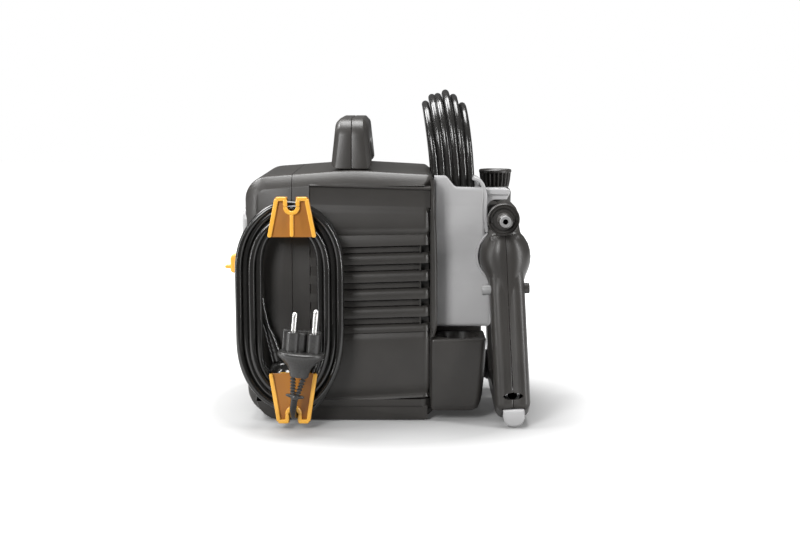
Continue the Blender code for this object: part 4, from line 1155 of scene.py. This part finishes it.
def wall_wave(z):
    """How far the near wall swells towards the viewer at a height."""
    return between(z, ((87.0, 0.9), (89.0, 1.6), (95.0, 1.9), (128.0, 1.7), (140.0, 1.1), (150.0, 0.1),
                       (158.0, -0.5), (166.0, 0.2), (176.0, 1.3), (186.0, 1.2), (196.0, 0.3), (204.0, -0.2),
                       (214.0, 0.6), (224.0, 1.6), (233.0, 1.9)))


def near_wall():
    """Relief sheet with a rounded rim, thickened into a wall."""
    rows = []
    columns = 46
    lines = 90
    for line in range(lines + 1):
        row = []
        share = line / lines
        for column in range(columns + 1):
            across = column / columns
            edge = wall_right_edge(HOLDER_LOW + (224.0 - HOLDER_LOW) * share)
            top = wall_top(HOLDER_FRONT + (edge - HOLDER_FRONT) * across)
            z = HOLDER_LOW + (top - HOLDER_LOW) * share
            x = HOLDER_FRONT + (wall_right_edge(z) - HOLDER_FRONT) * across
            border = min(x - HOLDER_FRONT, wall_right_edge(z) - x, z - HOLDER_LOW, top - z)
            round_off = 1.4 * (1 - ease(border / 2.2))
            swell = math.exp(-((x - 109.0) / 9.0) ** 2 - ((z - 176.0) / 20.0) ** 2)
            row.append((x, HOLDER_NEAR - wall_wave(z) - 1.2 * swell + round_off, z))
        rows.append(row)
    wall = sheet("hose_holder", rows, GREY, 40.0, 2.2)
    wall.data = baked(wall)
    wall.modifiers.clear()
    return wall


def far_wall():
    corners = ((HOLDER_FRONT, HOLDER_FOOT, 2.0), (HOLDER_REAR, HOLDER_FOOT, 2.0), (HOLDER_REAR, 229.0, 2.0),
               (102.4, 222.0, 3.0), (80.0, 222.0, 6.0), (71.0, 231.0, 5.0), (HOLDER_FRONT, 231.0, 1.0))
    return soft_plate("far_wall", corners, "XZ", HOLDER_FAR - 2.4, HOLDER_FAR, 0.8, GREY)


def rear_wall():
    corners = ((-56.0, HOLDER_FOOT, 2.0), (HOLDER_FAR, HOLDER_FOOT, 2.0), (HOLDER_FAR, 222.0, 4.0),
               (30.0, 222.0, 6.0), (-56.0, 222.0, 3.0))
    return soft_plate("rear_wall", corners, "YZ", HOLDER_REAR - 2.2, HOLDER_REAR, 0.8, GREY)


def cradle_ring():
    """Part ring round the gun's bulb, standing off the near wall."""
    x, z = CRADLE_CENTRE
    section = ((25.4, -56.0), (25.4, -60.6), (25.8, -61.2), (27.0, -61.2), (27.6, -60.4), (28.0, -56.0))
    loops = []
    for step in range(25):
        angle = math.radians(108.0 + 152.0 * step / 24)
        loops.append([(x + reach * math.cos(angle), y, z + reach * math.sin(angle)) for reach, y in section])
    return loft("cradle", loops, GREY)


def saddle_arm():
    """Plate above the gun's head, on a gusset that arches over the nozzle's sleeve."""
    corners = ((104.0, 219.0, 1.0), (104.0, 192.0, 1.0), (108.4, 192.0, 1.5), (110.4, 208.8, 9.0),
               (128.6, 208.8, 1.0), (131.0, 213.0, 1.6), (131.0, 219.0, 2.4))
    lip = ((104.0, 213.6, 1.0), (131.6, 213.6, 1.6), (131.6, 219.6, 2.4), (104.0, 219.6, 1.0))
    return join(soft_plate("arm", corners, "XZ", -46.0, -20.0, 1.2, GREY),
                soft_plate("lip", lip, "XZ", -48.6, -45.0, 1.2, GREY))


def curled_post():
    """Near end of the rear wall, which curls over towards the hose at its top."""
    knots = ((111.0, 179.0), (109.8, 190.0), (109.2, 204.0), (109.2, 214.0), (107.6, 221.6), (105.4, 226.4),
             (101.6, 230.0), (96.6, 231.8))
    outer = catmull([(x, 0.0, z) for x, z in knots], 1.5)
    loops = []
    for index, spot in enumerate(outer):
        along = outer[min(index + 1, len(outer) - 1)] - outer[max(index - 1, 0)]
        inward = Vector((-along.z, 0.0, along.x)).normalized()
        loop = []
        for depth, y in ((0.0, -56.4), (0.4, -57.2), (1.0, -57.6), (2.8, -57.6), (3.4, -57.2), (3.8, -56.4),
                         (3.8, -20.0), (0.0, -20.0)):
            side = spot + inward * depth
            loop.append((side.x, y, side.z))
        loops.append(loop)
    return loft("post", loops, GREY, angle=50.0)


def lance_clip():
    """Clip with the eye that the lance hangs in."""
    corners = ((104.0, 44.0, 1.0), (131.0, 44.0, 6.0), (138.5, 51.0, 6.0), (138.5, 65.0, 6.0),
               (131.0, 72.0, 6.0), (104.0, 72.0, 1.0))
    clip = soft_plate("clip", corners, "XY", 185.0, 194.0, 1.2, GREY)
    return carve(clip, rod("eye", (*LANCE_PLACE, 180.0), (*LANCE_PLACE, 200.0), 8.8, GREY))


def lance_pocket():
    """Dark pocket with rounded corners, a raised rim and the well for the lance."""
    loops = []
    for z, right, inset in ((9.6, 97.0, 3.0), (10.2, 98.6, 1.0), (12.0, 100.6, 0.0), (16.0, 102.4, 0.0),
                            (24.0, 104.4, 0.0), (40.0, 106.0, 0.0), (60.0, 107.2, 0.0), (76.0, 108.0, 0.0),
                            (78.0, 108.1, 0.1), (78.8, 107.9, 0.5), (79.0, 107.2, 1.2)):
        corners = ((POCKET_LEFT + inset, POCKET_NEAR + inset, 3.0), (right - inset, POCKET_NEAR + inset, 7.0),
                   (right - inset, POCKET_FAR - inset, 7.0), (POCKET_LEFT + inset, POCKET_FAR - inset, 2.0))
        loops.append([(x, y, z) for x, y in rounded(corners, 0.0, 6)])
    pocket = loft("pocket", loops, DARK)
    well = ((19.3, 17.0), (19.3, 76.0), (20.2, 78.2), (20.9, 80.0))
    carve(pocket, turned("well", well, (82.0, -56.0, 0.0), (0, 0, 1), DARK, 56))
    join(pocket, block("web", (58.8, -32.0, 60.0), (106.0, 30.0, 86.6), DARK, 1.5))
    sharpen(pocket, 30.0)
    seat(pocket, "housing", "dark_plastic", "lance_pocket")


def lance():
    """Lance tube with its bell on the clip, and the ribbed nozzle ring."""
    place = (*LANCE_PLACE, 0.0)
    profile = ((6.4, 64.0), (7.4, 64.8), (8.0, 66.4), (8.0, 96.0), (7.4, 97.0), (7.4, 99.0), (8.0, 100.0),
               (8.0, 194.3), (13.6, 194.3), (15.6, 196.0), (16.4, 199.6), (16.4, 208.4), (15.4, 211.4),
               (13.6, 213.0), (8.0, 213.0), (8.0, 227.6), (7.0, 228.4), (3.2, 228.4), (2.2, 222.0))
    seat(turned("lance", profile, place, (0, 0, 1), DARK), "lance", "dark_plastic", "lance_tube")

    def flute(turn, height):
        if not 215.0 < height < 228.6:
            return 0.0
        return -2.6 * (0.5 - 0.5 * math.cos(LANCE_FLUTES * turn)) ** 1.5

    profile = ((8.4, 213.3), (13.6, 213.3), (14.2, 214.0), (14.3, 215.0), (14.5, 215.4), (15.6, 221.0),
               (16.2, 227.4), (16.3, 228.4), (16.8, 229.2), (16.8, 231.2), (16.0, 232.0), (14.6, 232.0),
               (13.4, 230.6), (8.4, 229.0))
    ring = turned("spray_collar", profile, place, (0, 0, 1), DARK, LANCE_FLUTES * 8, ring=True, wave=flute)
    seat(ring, "spray_ring", "dark_plastic", "nozzle_ring")


# ---------------------------------------------------------------- gun

GUN_ORIGIN = (124.8, 0.0, 186.0)
GUN_LEAN = -2.5
GUN_NOZZLE = (-1.8, 8.0)
GUN_PORT_Z = -156.0
LOCK_PIN = (-80.0, -59.0)
GUN_CORNERS = (
    (-113.0, -168.0, 8.0),
    (-90.0, -181.0, 8.0),
    (22.0, -172.0, 14.0),
    (34.0, -20.0, 10.0),
    (34.0, 17.0, 12.0),
    (-30.0, 17.0, 12.0),
    (-52.0, 0.0, 12.0),
    (-80.0, -6.0, 6.0),
    (-86.0, -40.0, 12.0),
    (-91.0, -60.0, 20.0),
)
GUN_WINDOW = (
    (-88.0, -156.0, 8.0),
    (-12.0, -152.0, 12.0),
    (-4.0, -26.0, 12.0),
    (-64.0, -26.0, 8.0),
    (-68.0, -60.0, 10.0),
)
GUN_ROUNDING = ((0.2, 2.0), (0.7, 1.5), (2.4, 1.1), (5.0, 0.4), (8.0, 0.0), (11.0, 0.5), (13.4, 1.9),
                (15.2, 4.2), (16.2, 7.0), (16.5, 9.5))
# Height, half width and front face of the gun's round head, downwards.
GUN_BULB = ((-4.0, 9.0, -78.0), (-5.5, 12.4, -80.6), (-8.0, 15.6, -82.8), (-12.0, 19.0, -85.0),
            (-18.0, 22.2, -87.2), (-24.0, 23.8, -88.4), (-30.0, 24.3, -89.0), (-36.0, 23.7, -89.4),
            (-42.0, 21.8, -89.8), (-47.0, 19.5, -90.2), (-52.0, 17.6, -90.8), (-58.0, 16.3, -91.6),
            (-66.0, 15.6, -92.8), (-76.0, 15.4, -94.6), (-88.0, 14.6, -96.6))


def gun_piece(item, body, slot, *nodes):
    """Seat a piece drawn in the upright gun's own frame."""
    item.data.transform(leaning(GUN_ORIGIN, GUN_LEAN))
    return seat(item, body, slot, *nodes)


def gun_bulb():
    """Round head under the nozzle that runs down smoothly into the front column."""
    rear = -42.0
    loops = []
    for z, half_x, front in GUN_BULB:
        loop = []
        for x, y in ellipse(half_x, (rear - front) / 2, 56):
            valley = 1.6 * math.exp(-(x / 5.0) ** 2) if y < 0 else 0.0
            loop.append((x, (front + rear) / 2 + y + valley, z))
        loops.append(loop)
    return loft("bulb", loops, DARK)


def gun_shells():
    """Two halves with soft shoulders and the round bulb under the nozzle."""
    for name, side in (("gun_left", -1.0), ("gun_right", 1.0)):
        stations = [(side * depth, inset) for depth, inset in GUN_ROUNDING]
        shell = shaped(name, GUN_CORNERS, "YZ", stations, DARK)
        low, high = sorted((side * 0.2, -side * 60))
        carve(shell, gun_bulb(), "UNION")
        carve(shell, shaped("window", GUN_WINDOW, "YZ", ((-20.0, 0.0), (20.0, 0.0)), DARK))
        carve(shell, gun_hollow(side))
        carve(shell, block("seam", (low, -150, -210), (high, 70, 50), DARK, 0.0))
        cut_gun_openings(shell)
        sharpen(shell, 38.0)
        gun_piece(shell, "gun", "dark_plastic", name + "_shell")


def gun_hollow(side):
    """Space inside a half for the valve, pipe and trigger."""
    stations = ((-side * 4.0, 2.8), (side * 13.0, 2.8), (side * 13.4, 4.4))
    hollow = shaped("hollow", GUN_CORNERS, "YZ", stations, DARK, 6)
    return carve(hollow, shaped("keep", GUN_WINDOW, "YZ", ((-30.0, -2.8), (30.0, -2.8)), DARK, 6))


def cut_gun_openings(shell):
    """Nozzle mouth, hose port, tab slot, trigger slot and lock pin hole."""
    x, z = GUN_NOZZLE
    port = [(px, GUN_PORT_Z + pz) for px, pz in ellipse(9.4, 3.2, 40)]
    cutters = (
        rod("mouth", (x, -99, z), (x, -80, z), 10.8, DARK),
        loft("port", [spread(port, "XZ", y) for y in (-122.0, -100.0)], DARK),
        block("tab", (-10.6, -122, -192), (10.6, -98, -167.2), DARK, 0.0),
        block("trigger", (-7.5, -46, -32), (7.5, -16, -20), DARK, 0.0),
        rod("pin", (-30, *LOCK_PIN), (30, *LOCK_PIN), 5.3, DARK),
    )
    for cutter in cutters:
        carve(shell, cutter)


def second_tone(item, material, chosen):
    """Give a second material to the faces whose centre, in millimetres, is chosen."""
    item.data.materials.append(material)
    for face in item.data.polygons:
        face.material_index = 1 if chosen(face.center / MM) else 0


def gun_nozzle():
    """Stub with its hole, on a disc with concentric rings and two slots, before a grey barrel."""
    x, z = GUN_NOZZLE
    profile = ((2.5, 0.0), (4.6, 0.0), (5.4, 0.6), (6.9, 3.4), (7.0, 4.2), (7.0, 8.0), (6.4, 8.6),
               (6.4, 10.2), (7.0, 10.8), (7.0, 20.6), (9.4, 20.9), (9.6, 22.0), (10.8, 22.2), (11.0, 20.6),
               (12.4, 20.3), (12.8, 21.4), (13.4, 21.2), (14.2, 20.6), (14.9, 21.4), (15.0, 22.6),
               (15.0, 26.7), (10.5, 26.7), (10.5, 33.0), (2.5, 33.0))
    disc = turned("gun_nozzle", profile, (x, -113.0, z), (0, 1, 0), DARK, 64, ring=True)
    for side in (-11.6, 11.6):
        low = (x + side - 1.6, -95.0, z - 3.2)
        carve(disc, block("notch", low, (x + side + 1.6, -89.5, z + 3.2), DARK, 0.6))
    sharpen(disc)
    # The stub's front face is a lighter grey: a painted highlight on its rim around the dark hole.
    second_tone(disc, FINISH["pin_grey"], lambda centre: centre.y < -112)
    barrel = turned("gun_barrel", ((8.6, 0.0), (9.6, 0.6), (9.6, 28.0), (10.6, 43.0)), (x, -87.0, z),
                    (0, 1, 0), FINISH["pin_grey"], 56)
    gun_piece(barrel, "gun", "dark_plastic")
    gun_piece(disc, "gun", "dark_plastic", "gun_connector")


def gun_small_parts():
    """Lock pin with a light and a dark end, release tab, trigger and hose port collar."""
    profile = ((4.0, -24.0), (4.8, -23.6), (5.0, -22.8), (5.0, 8.0), (5.0, 20.0), (4.8, 20.7), (4.0, 21.0))
    pin = turned("lock_pin", profile, (0, *LOCK_PIN), (1, 0, 0), FINISH["pin_grey"], 40)
    second_tone(pin, DARK, lambda centre: centre.x > 9)
    gun_piece(pin, "lock_pin", "dark_plastic", "gun_lock_pin")
    socket = turned("hose_socket", ((4.5, 0.0), (7.0, 0.0), (7.0, 5.0), (4.5, 5.0)),
                    (0, -99.5, GUN_PORT_Z - 1.0), (0, 1, 0), FINISH["steel"], 40, ring=True)
    gun_piece(socket, "gun", "brass", "gun_hose_port")
    corners = ((-10.0, -184.5, 9.4), (10.0, -184.5, 9.4), (10.0, -168.2, 1.0), (-10.0, -168.2, 1.0))
    stations = ((-107.0, 1.0), (-108.0, 0.0), (-112.0, 0.0), (-113.2, 0.6), (-114.0, 2.0))
    tab = shaped("release_tab", corners, "XZ", stations, GREY, 10)
    gun_piece(tab, "release_tab", "light_grey_plastic", "hose_release_tab")
    corners = ((-40.0, -114.0, 3.0), (-31.0, -114.0, 3.0), (-22.0, -40.0, 20.0), (-22.0, -10.0, 4.0),
               (-38.0, -10.0, 4.0), (-36.0, -40.0, 20.0))
    stations = ((-6.5, 2.2), (-6.2, 1.0), (-5.2, 0.3), (-4.0, 0.0), (4.0, 0.0), (5.2, 0.3), (6.2, 1.0),
                (6.5, 2.2))
    trigger = shaped("trigger", corners, "YZ", stations, GREY)
    gun_piece(trigger, "trigger", "light_grey_plastic", "gun_trigger")


# ---------------------------------------------------------------- springs, inlet and feet

def piston_springs():
    """Coil round each piston, between the pump block and the piston's foot."""
    for number, body in ((1, "piston_a"), (2, "piston_b"), (3, "piston_c")):
        node = f"piston_spring_{number}"
        low, high = limits(node)
        middle = centre_of(node)
        radius = (high.x - low.x) / 2 - SPRING_WIRE
        bottom = low.z + SPRING_WIRE
        rise = high.z - low.z - 2 * SPRING_WIRE
        steps = SPRING_TURNS * 24
        route = []
        for step in range(steps + 1):
            turn = 2 * math.pi * step / 24
            route.append((middle.x + radius * math.cos(turn), middle.y + radius * math.sin(turn),
                          bottom + rise * (step / steps)))
        coil = bend_tube("coil", route, SPRING_WIRE, FINISH["steel"])
        spring = add_object(f"spring_{number}", baked(coil))
        bpy.data.objects.remove(coil)
        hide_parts(node)
        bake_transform(spring)


def water_inlet():
    """Light ring and the ribbed hose coupling on the inlet."""
    low, high = limits("inlet_collar")
    y = (low.y + high.y) / 2
    z = (low.z + high.z) / 2
    reach = high.x - low.x

    def ribs(turn, height):
        return 0.5 * math.cos(18 * turn) if 5.0 < height < 22.0 else 0.0

    profile = ((7.0, 0.0), (15.6, 0.0), (17.0, 1.2), (17.2, 4.6), (16.9, 5.2), (17.2, 22.2), (16.4, 23.4),
               (14.4, 24.0), (14.4, 27.0), (15.6, 28.0), (15.6, reach - 1.2), (14.4, reach), (7.0, reach))
    collar = turned("inlet_coupling", profile, (low.x, y, z), (1, 0, 0), FINISH["black_rubber"], 144,
                    ring=True, wave=ribs)
    seat(collar, "inlet_coupling", "dark_plastic", "inlet_collar")
    profile = ((9.4, 0.0), (19.0, 0.0), (20.0, 1.0), (20.0, 4.4), (18.6, 5.6), (9.4, 5.6))
    ring = turned("inlet_bezel", profile, (limits("inlet_ring")[0].x, y, z), (1, 0, 0), GREY, 64, ring=True)
    seat(ring, "housing", "light_grey_plastic", "inlet_ring")


def feet():
    """Rubber feet with a grooved side."""
    profile = ((7.2, 0.0), (8.4, 0.3), (9.0, 1.0), (8.7, 1.5), (9.0, 2.0), (9.0, 2.7))
    for number in range(1, 5):
        node = f"foot_{number}"
        middle = centre_of(node)
        foot = turned("rubber_" + node, profile, (middle.x, middle.y, 0.0), (0, 0, 1),
                      FINISH["black_rubber"], 40)
        seat(foot, "housing", "black_rubber", node)


# ---------------------------------------------------------------- assembly


def main():
    finish_packed_parts()
    housing()
    for side, face, outward in (("near", BODY_NEAR, -1.0), ("far", BODY_FAR - PANEL_SWELL, 1.0)):
        side_panel("side_panel_" + side, face, outward)
        rear_border("rear_border_" + side, face, outward)
    plinth()
    front_panel()
    switch_knob()
    handle()
    cord_hook("cord_hook_upper", 180.0, 217.0)
    cord_hook("cord_hook_lower", 53.0, 6.0)
    hood_relief = cord_hood()
    plug_pieces = plug()
    holder()
    lance_pocket()
    lance()
    gun_shells()
    gun_nozzle()
    gun_small_parts()
    piston_springs()
    water_inlet()
    feet()
    set_stage()


main()
